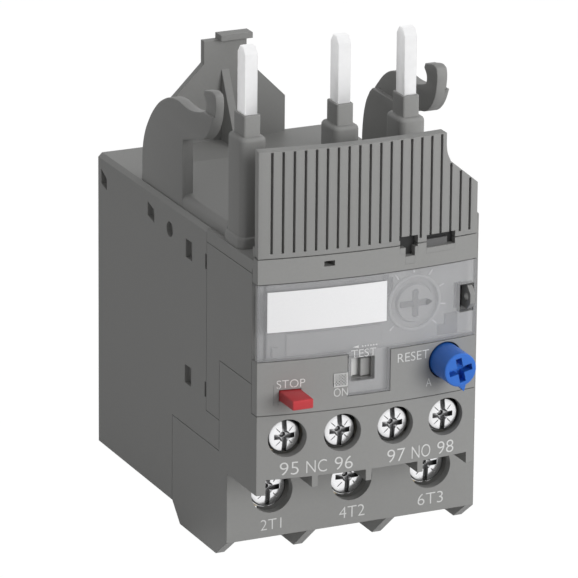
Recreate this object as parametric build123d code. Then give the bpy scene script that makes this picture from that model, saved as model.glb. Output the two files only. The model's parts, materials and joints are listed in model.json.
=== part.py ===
from build123d import *
import os
from math import sqrt

# Thermal overload relay. Millimetres, +Z up, front towards -Y, +X to the right.
# Inside this file y = 0 is the flat front of the lower terminal row and z = 0 is its bottom edge.
# emit() shifts every piece so that the origin is at the centre of the relay's footprint.

# Overall body
BODY_W = 45.0            # width of the relay, the module width of its contactor
BODY_REAR = 53.3         # depth of the housing behind the lower front
BODY_TOP = 51.6          # top of the housing above the lower front's bottom edge
WALL = 1.5               # outer wall of every moulding
SEAM = 0.12              # gap between two mouldings that meet
SPLIT_Y = 8.4            # where the rear housing starts
NOSE_Y = 3.1             # rear end of the auxiliary terminals' side wall

# Lower terminal row
ROW_DEPTH = 22.0         # depth of the lower terminal moulding
ROW_TOP = 15.0           # its top
ROW_FACE = 12.2          # height of its visible front
SKIRT_DROP = 3.2         # how far the outer walls reach below the front
RIB_DROP = 4.3           # how far the two ribs between the poles reach below the front
SKIRT_RUN = 4.2          # length of the chamfer at the front of those walls
RIB_RUN = 5.2
RIB_T = 1.6              # thickness of the pole ribs
POLE_PITCH = 0.32 * BODY_W
POLES = (-POLE_PITCH, 0.0, POLE_PITCH)
MAIN_Z = 7.9             # height of the main terminal screws
MAIN_HOLE_R = 3.7

# Bowed front module
MOD_LEFT = -BODY_W / 2
MOD_RIGHT = BODY_W / 2 - 6.6
MOD_MID = (MOD_LEFT + MOD_RIGHT) / 2
BOW_R = 112.0            # radius of the bowed front, seen from above
BOW_FRONT = 13.7         # how far its middle stands in front of the lower row
SKIN = 1.6               # thickness of the bowed front wall
CHIN_Z = 14.8            # bottom edge of the front wall
FOOT_Z = 12.9            # bottom of the ribs between the auxiliary terminals
SHROUD_TOP = 25.7        # top of the auxiliary terminals
WINDOW_Z0 = 34.9
WINDOW_Z1 = 47.9
STRIP_TOP = 52.1
COVER_TOP = 70.0
AUX_PITCH = (MOD_RIGHT - MOD_LEFT - 10.5) / 3
AUX_X = tuple(MOD_LEFT + 5.05 + AUX_PITCH * k for k in range(4))
AUX_RIB_T = 1.0
AUX_Z = 21.7
AUX_HOLE_R = 3.2

# Ribbed cover
COVER_T = 2.0
GROOVE_W = 0.45
GROOVE_DEPTH = 0.7
GROOVE_COUNT = 20
GROOVE_FIRST = MOD_LEFT + 2.2
GROOVE_PITCH = (MOD_RIGHT - MOD_LEFT - 3.8) / (GROOVE_COUNT - 1)
COVER_SHOULDER_X = MOD_RIGHT - 6.5   # where the top edge ends
COVER_SHOULDER_Z = 65.2  # where the slanted right corner starts
COVER_CORNER_Z = 60.7    # where the slant meets the right edge

# Connection pins
PIN_X = (MOD_LEFT + 2.85, MOD_MID, MOD_RIGHT - 7.45)
PIN_Y = -0.8
PIN_W = 2.2
PIN_D = 3.1
PIN_TOP = 85.2
PIN_POINT = 1.1
COLLAR_W = 2.9
COLLAR_D = 4.0
COLLAR_TOP = 73.4
COLUMN_W = 4.1
COLUMN_D = 5.6
COLUMN_TOP = 69.9

# Latch cover and its hooks
LATCH_LEFT = MOD_LEFT + 0.9
LATCH_RIGHT = BODY_W / 2 - 2.3
LATCH_FRONT = 2.6
LATCH_REAR = 37.8
LATCH_T = 2.2
HOOK_T = 1.7
NOSE_T = 2.1
HOOK_TOP = 70.2
HOOK_LEG_FRONT = 20.3
HOOK_LEG_REAR = 36.7
HOOK_NOSE = 8.4
HOOK_NOSE_TOP = 75.0

# Rear latch tab
TAB_X = 0.3
TAB_W = 7.9
TAB_BASE_W = 22.4
TAB_T = 1.3
TAB_TOP = 69.3
TAB_NECK = 65.3
TAB_SHOULDER = 58.1

# Controls
DIAL_X = MOD_RIGHT - 10.7
DIAL_Z = 41.5
DIAL_R = 3.1
RESET_X = MOD_RIGHT - 5.7
RESET_Z = 31.5
KNOB_R = 2.85
KNOB_PROUD = 5.6
STOP_X = MOD_LEFT + 5.1
STOP_Z = 29.2
STOP_W = 3.9
STOP_H = 2.5
STOP_PROUD = 5.0
TEST_X = MOD_MID - 1.45
TEST_Z = 32.2
TEST_SLOT_W = 4.1
TEST_SLOT_H = 3.9
FLAG_X = MOD_MID - 5.45
FLAG_Z = 30.8
FLAG_WINDOW = 2.2
TONGUE_LEFT = MOD_MID - 4.0
TONGUE_RIGHT = MOD_MID + 3.3
TONGUE_Z = 27.9
LABEL_LEFT = MOD_LEFT + 1.6
LABEL_RIGHT = MOD_MID + 2.6
LABEL_Z0 = 39.8
LABEL_Z1 = 46.6
LABEL_T = 0.4
WINDOW_T = 1.2
WINDOW_GAP = 1.0         # space behind the window for the dial

# Trip mechanism
SLIDE_Y = 25.5
BIMETAL_TOP = 36.0
MECH_Z = 37.0            # bottom of the slide, lever and carrier
MECH_T = 1.8
PIVOT = (MOD_MID + 9.3, 16.0)
PIVOT_R = 1.0
CARRIER_X = MOD_MID + 0.3
CARRIER_Z = 39.2         # bottom of the carrier's stem
CARRIER_TOP = 40.6
CONTACT_Z = 33.5         # bottom of the two moving contacts
CONTACT_H = 2.0
CONTACT_T = 0.6
CONTACT_Y = -1.5         # their pivots
CONTACT_REACH = AUX_PITCH + 0.65
FINGER_REACH = 6.2       # where the carrier pushes them, from the pivot
AUX_PLATE_Y = -3.5
AUX_PLATE_T = 1.0
AUX_PLATE_TOP = 36.5

# Fits
RUN_FIT = 0.06           # radial clearance of a turning piece
SLIP = 0.25              # clearance around a pushed piece

# Shell details
TOP_CHAMFER = 0.7
POLE_WALL = 1.2
NOSE_TOP = 20.3          # top of the small wall that closes the gap beside the nose
NOSE_SIDE_TOP = 30.6     # top of the side wall beside the auxiliary terminals
COVER_FRONT = -9.3       # front edge of the side cover
COVER_Z1 = 49.28
SHROUD_BASE_TOP = 53.4
LATCH_PEGS = (-BODY_W / 4, BODY_W / 4)
LATCH_PEG_Y = 30.0
LATCH_PEG_R = 1.2

# Window hinge and sealing lug
HINGE_R = 0.45
WINDOW_HINGE = (MOD_LEFT + 1.2, -10.7)
LUG_X = MOD_RIGHT - 1.25
LUG_Z = 41.5
LUG_PROUD = 1.1

# Notches in the strip: middle, measured from the module's middle, then width, bottom and top
STRIP_NOTCHES = ((12.25, 5.3, 50.2, 53.1), (6.4, 3.2, 50.6, 53.1), (6.65, 1.7, 48.9, 53.1), (-7.4, 1.8, 50.2, 51.1))

# Insides of the controls
PAD_INSET = 2.4          # how far behind the front the test slider lies
TEST_FACE_Y = -11.0
TEST_T = 1.35
TEST_TAIL_LEFT = MOD_MID - 3.3
TEST_TAIL_RIGHT = MOD_MID - 2.1
TEST_BLOCK_RIGHT = MOD_MID - 0.3
TEST_BLOCK_LOW = 30.3
TEST_BLOCK_TOP = 33.4
TEST_SPRING_LEFT = MOD_MID - 6.5
STOP_LIP = 0.5
STOP_FLANGE_Y = -10.35
STOP_SEAT = -6.4
STOP_STEM_R = 0.8
RESET_SEAT = -7.4        # bottom of the knob's bore
RESET_STOP = -6.35       # the end stop behind it
RESET_STEM_R = 1.2
DIAL_FACE = -12.0
DIAL_SEAT = -11.0
DIAL_STEM_R = 1.3
DIAL_END = -6.1

# Insides of the mechanism
SLIDE_D = 3.0
PIN_DEPTH = 6.0
PIVOT_BOSS_R = 2.4
HUB_R = 2.2
LEVER_W = 2.0
TAB_Y = 21.5             # where the slide's tab meets the lever
STEM_W = 2.0
FLAG_ARM_Z = 41.0
FLAG_ARM_T = 1.2
FLAG_PLATE_Y = -8.9
FLAG_LOW = 28.4
CONTACT_HUB_R = 0.9
CONTACT_PIN_R = 0.5
OPEN_Y = 1.3
BUS_Z = 45.6             # bottom of the three bars behind the pins
BUS_W = 1.6
BUS_JOG = 12.0
BUS_REAR = 30.4

# Terminals
AUX_ROOF_T = 1.0
AUX_PLATE_SEAT = 23.4
NECK_W = 3.0
AUX_HEAD_R = 2.9
AUX_HEAD_T = 2.0
AUX_SHAFT_R = 1.25
MAIN_HEAD_R = 3.4
MAIN_SHAFT_R = 1.75
CAGE_FRONT = 8.6
CAGE_REAR = 19.6
CAGE_LOW = 3.9
CAGE_TOP = 11.9
BAR_Y = 11.4
LEG_W = 5.6
LEG_Z = 12.2
LEG_T = 1.2
LEG_REAR = 30.6

HALF = BODY_W / 2
INNER = HALF - WALL
ROOF = BODY_TOP - WALL
KNOB_FRONT = -(BOW_FRONT - RESET_X ** 2 / (2 * BOW_R)) - KNOB_PROUD
KNOB_BACK = KNOB_FRONT + 6.8
SHIFT = Pos(0, -(BODY_REAR + KNOB_FRONT) / 2, RIB_DROP)

os.makedirs("parts", exist_ok=True)


def emit(shape, name):
    export_step(SHIFT * shape, f"parts/{name}.step")


def block(x0, x1, y0, y1, z0, z1):
    """A box given by its two corners."""
    return Pos(x0, y0, z0) * Box(x1 - x0, y1 - y0, z1 - z0, align=(Align.MIN, Align.MIN, Align.MIN))


def rod_y(x, z, y0, y1, r):
    """A round bar along Y."""
    return Pos(x, y0, z) * Rot(-90, 0, 0) * Cylinder(r, y1 - y0, align=(Align.CENTER, Align.CENTER, Align.MIN))


def rod_x(y, z, x0, x1, r):
    """A round bar along X."""
    return Pos(x0, y, z) * Rot(0, 90, 0) * Cylinder(r, x1 - x0, align=(Align.CENTER, Align.CENTER, Align.MIN))


def rod_z(x, y, z0, z1, r):
    """A round bar along Z."""
    return Pos(x, y, z0) * Cylinder(r, z1 - z0, align=(Align.CENTER, Align.CENTER, Align.MIN))


def side_plate(points, x0, x1):
    """An outline in the Y-Z plane, extruded from x0 to x1."""
    outline = make_face(Polyline(*[(y, z) for y, z in points], close=True))
    return extrude(Plane((x0, 0, 0), x_dir=(0, 1, 0), z_dir=(1, 0, 0)) * outline, x1 - x0)


def front_plate(points, y0, y1):
    """An outline in the X-Z plane, extruded from y0 back to y1."""
    outline = make_face(Polyline(*[(x, z) for x, z in points], close=True))
    return extrude(Plane((0, y1, 0), x_dir=(1, 0, 0), z_dir=(0, -1, 0)) * outline, y1 - y0)


def bow_y(x, inset=0.0):
    """Where the bowed front, set back by inset, lies at x."""
    return BOW_R - BOW_FRONT - sqrt((BOW_R - inset) ** 2 - x ** 2)


def bowed(x0, x1, z0, z1, back, inset=0.0):
    """Everything between the bowed front, set back by inset, and the plane y = back."""
    drum = Pos(0, BOW_R - BOW_FRONT, z0) * Cylinder(
        BOW_R - inset, z1 - z0, align=(Align.CENTER, Align.CENTER, Align.MIN))
    return block(x0, x1, -BOW_FRONT - 1, back, z0, z1) & drum


def bowed_wall(x0, x1, z0, z1, thick, inset=0.0):
    """A curved wall that follows the bowed front."""
    return bowed(x0, x1, z0, z1, 0, inset) - bowed(x0 - 1, x1 + 1, z0 - 1, z1 + 1, 1, inset + thick)


def coil(length, r, wire, turns):
    """A compression spring along +Z from the origin, as a swept round wire."""
    path = Helix((length - 2 * wire) / turns, length - 2 * wire, r)
    section = Plane(path @ 0, z_dir=path % 0) * Circle(wire)
    return Pos(0, 0, wire) * sweep(section, path=path)


def side_recesses():
    """The blind pockets that show in the left side, and their twins on the right."""
    depth = 0.9
    cuts = []
    for side in (-1, 1):
        x0, x1 = sorted((side * (HALF + 1), side * (HALF - depth)))
        cuts.append(side_plate([(52.0, 49.2), (52.0, 46.6), (49.6, 46.0), (49.6, 48.0)], x0, x1))
        cuts.append(side_plate([(32.4, 49.2), (32.4, 46.8), (29.6, 46.2), (29.6, 48.4)], x0, x1))
        cuts.append(rod_x(23.3, 47.0, x0, x1, 1.3))
        cuts.append(block(x0, x1, 14.2, 16.8, 44.2, 47.4))
        cuts.append(block(x0, x1, 14.4, 17.0, 22.4, 25.6))
        cuts.append(block(x0, x1, SPLIT_Y - 1, SPLIT_Y + 0.6, 44.6, 47.2))
        cuts.append(block(x0, x1, SPLIT_Y - 1, SPLIT_Y + 0.6, 22.6, 25.2))
    return cuts


def rear_housing():
    """The deep box behind, open to the front, with pole walls and the rear latch tab."""
    right = MOD_RIGHT + SEAM
    floor = ROW_TOP + SEAM + WALL
    front_wall = ROW_DEPTH + SEAM
    shell = block(-HALF, HALF, SPLIT_Y, BODY_REAR, 0, BODY_TOP)
    shell += block(right, HALF, 0, SPLIT_Y, ROW_TOP, BODY_TOP)
    corners = [e for e in shell.edges().filter_by(Axis.Y)
               if e.center().Z > BODY_TOP - 0.01 and abs(e.center().X) > HALF - 0.01]
    shell = chamfer(corners, TOP_CHAMFER)
    shell += block(-HALF, -INNER, NOSE_Y + SEAM, SPLIT_Y + 1, ROW_TOP, NOSE_TOP)
    shell -= block(-HALF - 1, HALF + 1, -1, front_wall, -1, ROW_TOP + SEAM)
    shell -= block(-INNER, INNER, front_wall + WALL, BODY_REAR - WALL, WALL, ROOF)
    shell -= block(-INNER, INNER, SPLIT_Y - 1, BODY_REAR - WALL, floor, ROOF)
    shell -= block(right + WALL, INNER, WALL, SPLIT_Y + 1, floor, ROOF)
    for x in (-POLE_PITCH / 2, POLE_PITCH / 2):
        wall = block(x - POLE_WALL / 2, x + POLE_WALL / 2, 18, BODY_REAR - WALL, floor - 0.5, ROOF)
        wall += block(x - POLE_WALL / 2, x + POLE_WALL / 2, front_wall + WALL, BODY_REAR - WALL, WALL, floor)
        wall -= block(x - 1, x + 1, 17, SLIDE_Y + SLIDE_D / 2 + 0.1, MECH_Z - 0.05, MECH_Z + 5)
        wall -= block(x - 1, x + 1, 17, 40, BUS_Z - 1, ROOF)
        shell += wall
    boss = rod_z(PIVOT[0], PIVOT[1], floor - 0.5, MECH_Z - 0.05, PIVOT_BOSS_R)
    shell += boss - rod_z(PIVOT[0], PIVOT[1], MECH_Z - PIN_DEPTH, MECH_Z, PIVOT_R)
    for x in POLES:
        shell -= block(x - LEG_W / 2 - 0.3, x + LEG_W / 2 + 0.3, ROW_DEPTH - 1, front_wall + WALL + 1,
                       LEG_Z - 0.2, LEG_Z + LEG_T + 0.4)
        shell += block(x - LEG_W / 2, x + LEG_W / 2, 26, LEG_REAR + 1, WALL - 0.5, LEG_Z)
    for x in LATCH_PEGS:
        shell -= rod_z(x, LATCH_PEG_Y, ROOF - 1, BODY_TOP + 1, LATCH_PEG_R + 0.05)
    for cut in side_recesses():
        shell -= cut
    return shell + rear_tab()


def rear_tab():
    """The upright tab behind, which locks to the contactor, with its lip and gusset."""
    half = TAB_W / 2
    base = TAB_BASE_W / 2
    outline = [(-base, BODY_TOP - 1), (base, BODY_TOP - 1), (base, TAB_SHOULDER), (half, TAB_NECK),
               (half, TAB_TOP), (-half, TAB_TOP), (-half, TAB_NECK), (-base, TAB_SHOULDER)]
    front = BODY_REAR - TAB_T
    tab = front_plate([(TAB_X + x, z) for x, z in outline], front, BODY_REAR)
    tab += block(TAB_X - 1.3, TAB_X + half + 0.6, front - 1.2, BODY_REAR, TAB_TOP, TAB_TOP + 1.0)
    gusset = [(front + 0.5, TAB_NECK - 1.3), (front, TAB_NECK - 1.3), (front - 6.2, BODY_TOP),
              (front - 6.2, BODY_TOP - 0.5), (front + 0.5, BODY_TOP - 0.5)]
    return tab + side_plate(gusset, TAB_X - 0.7, TAB_X + 0.7)


def skirt(x0, x1, drop, run):
    """A wall that reaches below the lower row, with its corners cut away."""
    return side_plate([(0, 2), (ROW_DEPTH, 2), (ROW_DEPTH, 0), (ROW_DEPTH - SKIRT_DROP, -drop),
                       (run, -drop), (0, 0)], x0, x1)


def terminal_block():
    """The lower row and the overhanging auxiliary terminals, in one moulding."""
    body = block(-HALF, HALF, 0, ROW_DEPTH, 0, ROW_TOP)
    for side in (-1, 1):
        x0, x1 = sorted((side * HALF, side * INNER))
        body += skirt(x0, x1, SKIRT_DROP, SKIRT_RUN)
        x = side * POLE_PITCH / 2
        body += skirt(x - RIB_T / 2, x + RIB_T / 2, RIB_DROP, RIB_RUN)
    half = POLE_PITCH / 2 - RIB_T / 2
    for x in POLES:
        body -= block(max(x - half, -INNER), min(x + half, INNER), WALL, ROW_DEPTH - WALL,
                      -RIB_DROP - 1, ROW_TOP - WALL)
        body -= rod_y(x, MAIN_Z, -1, WALL + 1, MAIN_HOLE_R)
        body -= block(x - LEG_W / 2 - 0.1, x + LEG_W / 2 + 0.1, ROW_DEPTH - WALL - 1, ROW_DEPTH + 1,
                      LEG_Z - 0.05, LEG_Z + LEG_T + 0.1)
        body += block(x - 2.4, x + 2.4, 12, 18, ROW_TOP - 0.5, ROW_TOP + SEAM)
    return body + auxiliary_shroud() + carrier_post()


def auxiliary_shroud():
    """The four chambers behind the bowed wall, open below for the wires."""
    shroud = bowed_wall(MOD_LEFT, MOD_RIGHT, CHIN_Z, SHROUD_TOP, SKIN)
    shroud += bowed(MOD_LEFT, MOD_RIGHT, SHROUD_TOP - AUX_ROOF_T, SHROUD_TOP, WALL)
    ribs = [(x + (AUX_PITCH - AUX_RIB_T) / 2, x + (AUX_PITCH + AUX_RIB_T) / 2) for x in AUX_X[:3]]
    ribs.append((MOD_LEFT, MOD_LEFT + 1.1))
    ribs.append((MOD_RIGHT - 1.4, MOD_RIGHT))
    for x0, x1 in ribs:
        shroud += bowed(x0, x1, FOOT_Z, SHROUD_TOP, 0.5)
    shroud += bowed(MOD_LEFT, -INNER, ROW_FACE, SHROUD_TOP, NOSE_Y)
    shroud += block(MOD_LEFT, -INNER, COVER_FRONT, NOSE_Y, SHROUD_TOP - 1, NOSE_SIDE_TOP)
    shroud += block(MOD_LEFT, MOD_RIGHT, 0, WALL, ROW_TOP - 0.5, SHROUD_TOP)
    shroud += block(MOD_RIGHT - 2 * WALL, MOD_RIGHT - WALL, -5, -1, SHROUD_TOP - 0.5, SHROUD_TOP + 3.3)
    for x in AUX_X:
        shroud += block(x - 3.0, x + 3.0, AUX_PLATE_Y + AUX_PLATE_T, 0.5, AUX_PLATE_SEAT, SHROUD_TOP - 0.5)
        shroud -= rod_y(x, AUX_Z, -16, bow_y(x) + SKIN + 1, AUX_HOLE_R)
        shroud -= rod_y(x, AUX_Z, -0.5, WALL + 1, AUX_SHAFT_R + 0.35)
        shroud -= block(x - NECK_W / 2 - 0.1, x + NECK_W / 2 + 0.1, AUX_PLATE_Y - 0.1,
                        AUX_PLATE_Y + AUX_PLATE_T, AUX_PLATE_SEAT, SHROUD_TOP + 1)
    return shroud


def carrier_post():
    """The post with a forked top, in which the carrier's stem slides."""
    outline = [(-2.2, SHROUD_TOP - 0.5), (2.2, SHROUD_TOP - 0.5), (2.2, CARRIER_TOP),
               (STEM_W / 2 + 0.06, CARRIER_TOP), (STEM_W / 2 + 0.06, CARRIER_Z - 0.05),
               (-STEM_W / 2 - 0.06, CARRIER_Z - 0.05), (-STEM_W / 2 - 0.06, CARRIER_TOP), (-2.2, CARRIER_TOP)]
    return front_plate([(CARRIER_X + x, z) for x, z in outline], 0, WALL)


def control_panel():
    """The bowed panel above the terminals: buttons, window recess, strip and roof."""
    low = SHROUD_TOP + SEAM
    recess = WINDOW_T + WINDOW_GAP
    panel = bowed_wall(MOD_LEFT, MOD_RIGHT, low, STRIP_TOP, SKIN)
    panel += bowed_wall(MOD_LEFT, MOD_RIGHT, WINDOW_Z0 - 1.2, WINDOW_Z1 + 1.2, SKIN + 1.2, 1.0)
    for z0, z1 in ((low, WINDOW_Z0), (WINDOW_Z1, BODY_TOP)):
        panel += bowed(MOD_LEFT, -INNER + 1, z0, z1, COVER_FRONT - SEAM)
    panel += bowed_wall(TONGUE_LEFT - 1, TONGUE_RIGHT + 1, TONGUE_Z - 1, WINDOW_Z0, PAD_INSET - 1, 1.0)
    panel += bowed(MOD_LEFT, MOD_RIGHT, ROOF, BODY_TOP, SPLIT_Y - SEAM)
    panel += block(MOD_LEFT + 4.5, MOD_RIGHT - 3, 5, SPLIT_Y + 2.6, ROOF - 1.2, ROOF)
    panel += block(MOD_RIGHT - WALL, MOD_RIGHT, -11, -SEAM, low, BODY_TOP)
    panel += rod_y(RESET_X, RESET_Z, bow_y(RESET_X) + 0.7, RESET_SEAT + 1.0, KNOB_R + 1.15)
    panel -= bowed(MOD_LEFT - 1, MOD_RIGHT + 1, WINDOW_Z0 - SEAM / 2, WINDOW_Z1 + SEAM / 2, 20) - bowed(
        MOD_LEFT - 2, MOD_RIGHT + 2, WINDOW_Z0 - 1, WINDOW_Z1 + 1, 20, recess)
    panel -= block(MOD_LEFT - 1, -INNER + 0.1, COVER_FRONT - SEAM, SPLIT_Y, low - 1, COVER_Z1 + SEAM)
    panel += block(MOD_LEFT, -INNER, COVER_FRONT, SPLIT_Y - SEAM, COVER_Z1 + SEAM, BODY_TOP - 0.5)
    panel -= bowed(TONGUE_LEFT - SEAM, TONGUE_RIGHT + SEAM, TONGUE_Z - SEAM, WINDOW_Z0 + 1, 0) - bowed(
        TONGUE_LEFT - 1, TONGUE_RIGHT + 1, TONGUE_Z - 1, WINDOW_Z0 + 2, 0, WINDOW_T + SEAM)
    panel -= block(FLAG_X - FLAG_WINDOW / 2, FLAG_X + FLAG_WINDOW / 2, -20, -8,
                   FLAG_Z - FLAG_WINDOW / 2, FLAG_Z + FLAG_WINDOW / 2)
    panel += stop_guide() + test_guide()
    panel -= block(STOP_X - STOP_W / 2 - SLIP, STOP_X + STOP_W / 2 + SLIP, -20, STOP_FLANGE_Y,
                   STOP_Z - STOP_H / 2 - SLIP, STOP_Z + STOP_H / 2 + SLIP)
    panel -= block(TEST_X - TEST_SLOT_W / 2, TEST_X + TEST_SLOT_W / 2, -20, TEST_FACE_Y + 0.5,
                   TEST_Z - TEST_SLOT_H / 2, TEST_Z + TEST_SLOT_H / 2)
    panel -= rod_y(RESET_X, RESET_Z, -20, RESET_SEAT, KNOB_R + SLIP)
    panel -= rod_y(RESET_X, RESET_Z, -20, 0, RESET_STEM_R + RUN_FIT)
    panel -= rod_y(DIAL_X, DIAL_Z, -20, DIAL_SEAT, DIAL_R + 0.3)
    panel += rod_y(DIAL_X, DIAL_Z, DIAL_SEAT, DIAL_END - 1.05, 2.4)
    panel -= rod_y(DIAL_X, DIAL_Z, -20, 0, DIAL_STEM_R + RUN_FIT)
    panel += seal_lug()
    for dx, w, z0, z1 in STRIP_NOTCHES:
        x = MOD_MID + dx
        panel -= block(x - w / 2, x + w / 2, -20, bow_y(x) + SKIN + 0.6, z0, z1)
    for z0, z1 in ((WINDOW_Z0 - 1.1, WINDOW_Z0 + 1), (WINDOW_Z1 - 1, WINDOW_Z1 + 1.1)):
        panel -= rod_z(WINDOW_HINGE[0], WINDOW_HINGE[1], z0, z1, HINGE_R + RUN_FIT)
    x = PIN_X
    for k in range(3):
        panel -= block(x[k] - PIN_W / 2, x[k] + PIN_W / 2, PIN_Y - PIN_D / 2, PIN_Y + PIN_D / 2,
                       ROOF - 1, BODY_TOP + 1)
    return panel


def stop_guide():
    """The cage behind the panel in which the stop button and its spring sit."""
    half_w = STOP_W / 2 + STOP_LIP + 0.2
    half_h = STOP_H / 2 + STOP_LIP + 0.2
    x0, x1 = STOP_X - half_w - 0.7, STOP_X + half_w + 0.7
    z0, z1 = STOP_Z - half_h - 0.7, STOP_Z + half_h + 0.7
    cage = bowed(x0, x1, z0, z1, STOP_SEAT + 1.0, SKIN - 0.3)
    cage -= block(STOP_X - half_w, STOP_X + half_w, STOP_FLANGE_Y, STOP_SEAT, STOP_Z - half_h, STOP_Z + half_h)
    return cage - rod_y(STOP_X, STOP_Z, STOP_SEAT - 1, 0, STOP_STEM_R + RUN_FIT)


def test_guide():
    """Two rails with lips behind the panel, and the seat of the test spring."""
    rear = TEST_FACE_Y + TEST_T + 0.1
    face = PAD_INSET - 0.4
    top = TEST_BLOCK_TOP + 0.1
    low = TEST_BLOCK_LOW - 0.1
    end = TONGUE_RIGHT - 1.8
    upper = bowed(TONGUE_LEFT - 1.1, end, top, top + 1.2, rear + 0.6, face)
    upper += block(TEST_TAIL_LEFT + 0.6, end - 0.4, rear, rear + 0.6, top - 0.5, top + 0.5)
    lower = bowed(TEST_TAIL_RIGHT + 0.2, end, low - 1.1, low, rear + 0.6, face)
    lower += block(TEST_TAIL_RIGHT + 0.2, end - 0.4, rear, rear + 0.6, low - 0.5, low + 0.5)
    seat = bowed(TEST_SPRING_LEFT - 0.9, TEST_SPRING_LEFT, TONGUE_Z - 1.2, TONGUE_Z + 1.6, rear, SKIN - 0.3)
    return upper + lower + seat


def seal_lug():
    """The D-shaped eyelet that reaches through the window to take a seal."""
    y = bow_y(LUG_X) + WINDOW_T + WINDOW_GAP + 0.4
    z0, z1 = LUG_Z - 2.0, LUG_Z + 2.0
    front = bow_y(LUG_X) - LUG_PROUD
    lug = side_plate([(y, z0), (front + 1.2, z0), (front, z0 + 1.2), (front, z1 - 1.2), (front + 1.2, z1), (y, z1)],
                     LUG_X - 0.45, LUG_X + 0.45)
    return lug - rod_x(front + 1.5, LUG_Z, LUG_X - 1, LUG_X + 1, 0.75)


def window():
    """The clear cover: bowed pane with its tongue, label pocket, openings and hinge pins."""
    z0 = WINDOW_Z0 + SEAM / 2
    z1 = WINDOW_Z1 - SEAM / 2
    x, y = WINDOW_HINGE
    pane = bowed_wall(MOD_LEFT, MOD_RIGHT, z0, z1, WINDOW_T)
    pane += bowed_wall(TONGUE_LEFT, TONGUE_RIGHT, TONGUE_Z, z0 + 1, WINDOW_T)
    pane -= bowed_wall(LABEL_LEFT, LABEL_RIGHT, LABEL_Z0, LABEL_Z1, LABEL_T)
    pane -= block(x - 2, x - 0.9, y, 0, z0 - 1, z1 + 1)
    pane += rod_z(x, y, z0, z1, HINGE_R + 0.3)
    pane += rod_z(x, y, z0 - 0.8, z1 + 0.8, HINGE_R)
    pane -= block(TEST_X - TEST_SLOT_W / 2, TEST_X + TEST_SLOT_W / 2, -20, -8,
                  TEST_Z - TEST_SLOT_H / 2, TEST_Z + TEST_SLOT_H / 2)
    return pane - block(LUG_X - 1.9, LUG_X + 0.75, -20, -8, LUG_Z - 2.35, LUG_Z + 2.35)


def marker_label():
    """The paper strip in the window's face."""
    return bowed_wall(LABEL_LEFT, LABEL_RIGHT, LABEL_Z0, LABEL_Z1, LABEL_T)


def side_cover():
    """The flat panel in the left side, with three tabs behind its edges."""
    cover = block(-HALF, -INNER, COVER_FRONT, SPLIT_Y - SEAM, NOSE_SIDE_TOP + SEAM, COVER_Z1)
    cover += block(-HALF, -INNER, NOSE_Y + SEAM, SPLIT_Y - SEAM, NOSE_TOP + SEAM, NOSE_SIDE_TOP + 1)
    cover += block(-INNER - 0.5, -INNER + 0.8, SPLIT_Y - 2, SPLIT_Y - SEAM, 34, 44)
    cover += block(-INNER, -INNER + 0.8, SPLIT_Y - 1, SPLIT_Y + 1.4, 34, 44)
    cover += block(-INNER, -INNER + 0.8, -7.5, -3, COVER_Z1 - 1.5, COVER_Z1 + 0.6)
    cover += block(-INNER - 0.5, -INNER + 0.8, -7.5, -3, COVER_Z1 - 1.5, COVER_Z1)
    cover += block(-INNER, -INNER + 0.8, -4, 1, NOSE_SIDE_TOP - 1.2, NOSE_SIDE_TOP + 1.2)
    return cover + block(-INNER - 0.5, -INNER + 0.8, -4, 1, NOSE_SIDE_TOP + SEAM, NOSE_SIDE_TOP + 1.2)


def hook(x0, x1, inward):
    """One side plate of the latch cover; its nose is a little thicker, inwards."""
    leg = [(HOOK_LEG_REAR, BODY_TOP + 0.5), (HOOK_LEG_REAR, 58), (35, 62.4), (32.5, 65.1), (29.5, 67.2), (24, 69.8),
           (16, HOOK_TOP), (11.5, HOOK_TOP), (8.8, HOOK_TOP), (10.2, 67.6), (12.8, 65), (HOOK_LEG_FRONT, 63.4),
           (HOOK_LEG_FRONT, BODY_TOP + 0.5)]
    nose = [(11.9, HOOK_TOP - 0.6), (11.7, 72.3), (13.1, 72.8), (12.7, 73.6), (9, HOOK_NOSE_TOP),
            (HOOK_NOSE, 74), (8.6, HOOK_TOP - 0.6)]
    x2, x3 = sorted((x0 if inward > 0 else x1, x0 + NOSE_T if inward > 0 else x1 - NOSE_T))
    return side_plate(leg, x0, x1) + side_plate(nose, x2, x3)


def latch_cover():
    """The raised plate on the housing, with its two hooks and the pegs below it."""
    plate = block(LATCH_LEFT, LATCH_RIGHT, LATCH_FRONT, LATCH_REAR, BODY_TOP, BODY_TOP + LATCH_T)
    top = [e for e in plate.edges() if e.center().Z > BODY_TOP + LATCH_T - 0.01]
    plate = fillet(top, 0.6)
    plate += hook(LATCH_LEFT, LATCH_LEFT + HOOK_T, 1)
    plate += hook(LATCH_RIGHT - HOOK_T, LATCH_RIGHT, -1)
    plate += side_plate([(HOOK_LEG_REAR, BODY_TOP + 1), (HOOK_LEG_REAR, 58), (35, 62.4), (33, 64.0),
                         (HOOK_LEG_FRONT, 62.6), (HOOK_LEG_FRONT, BODY_TOP + 1)],
                        LATCH_RIGHT - HOOK_T - 0.8, LATCH_RIGHT - HOOK_T + 0.2)
    for x in LATCH_PEGS:
        plate += rod_z(x, LATCH_PEG_Y, ROOF, BODY_TOP + 1, LATCH_PEG_R)
    return plate


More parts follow.
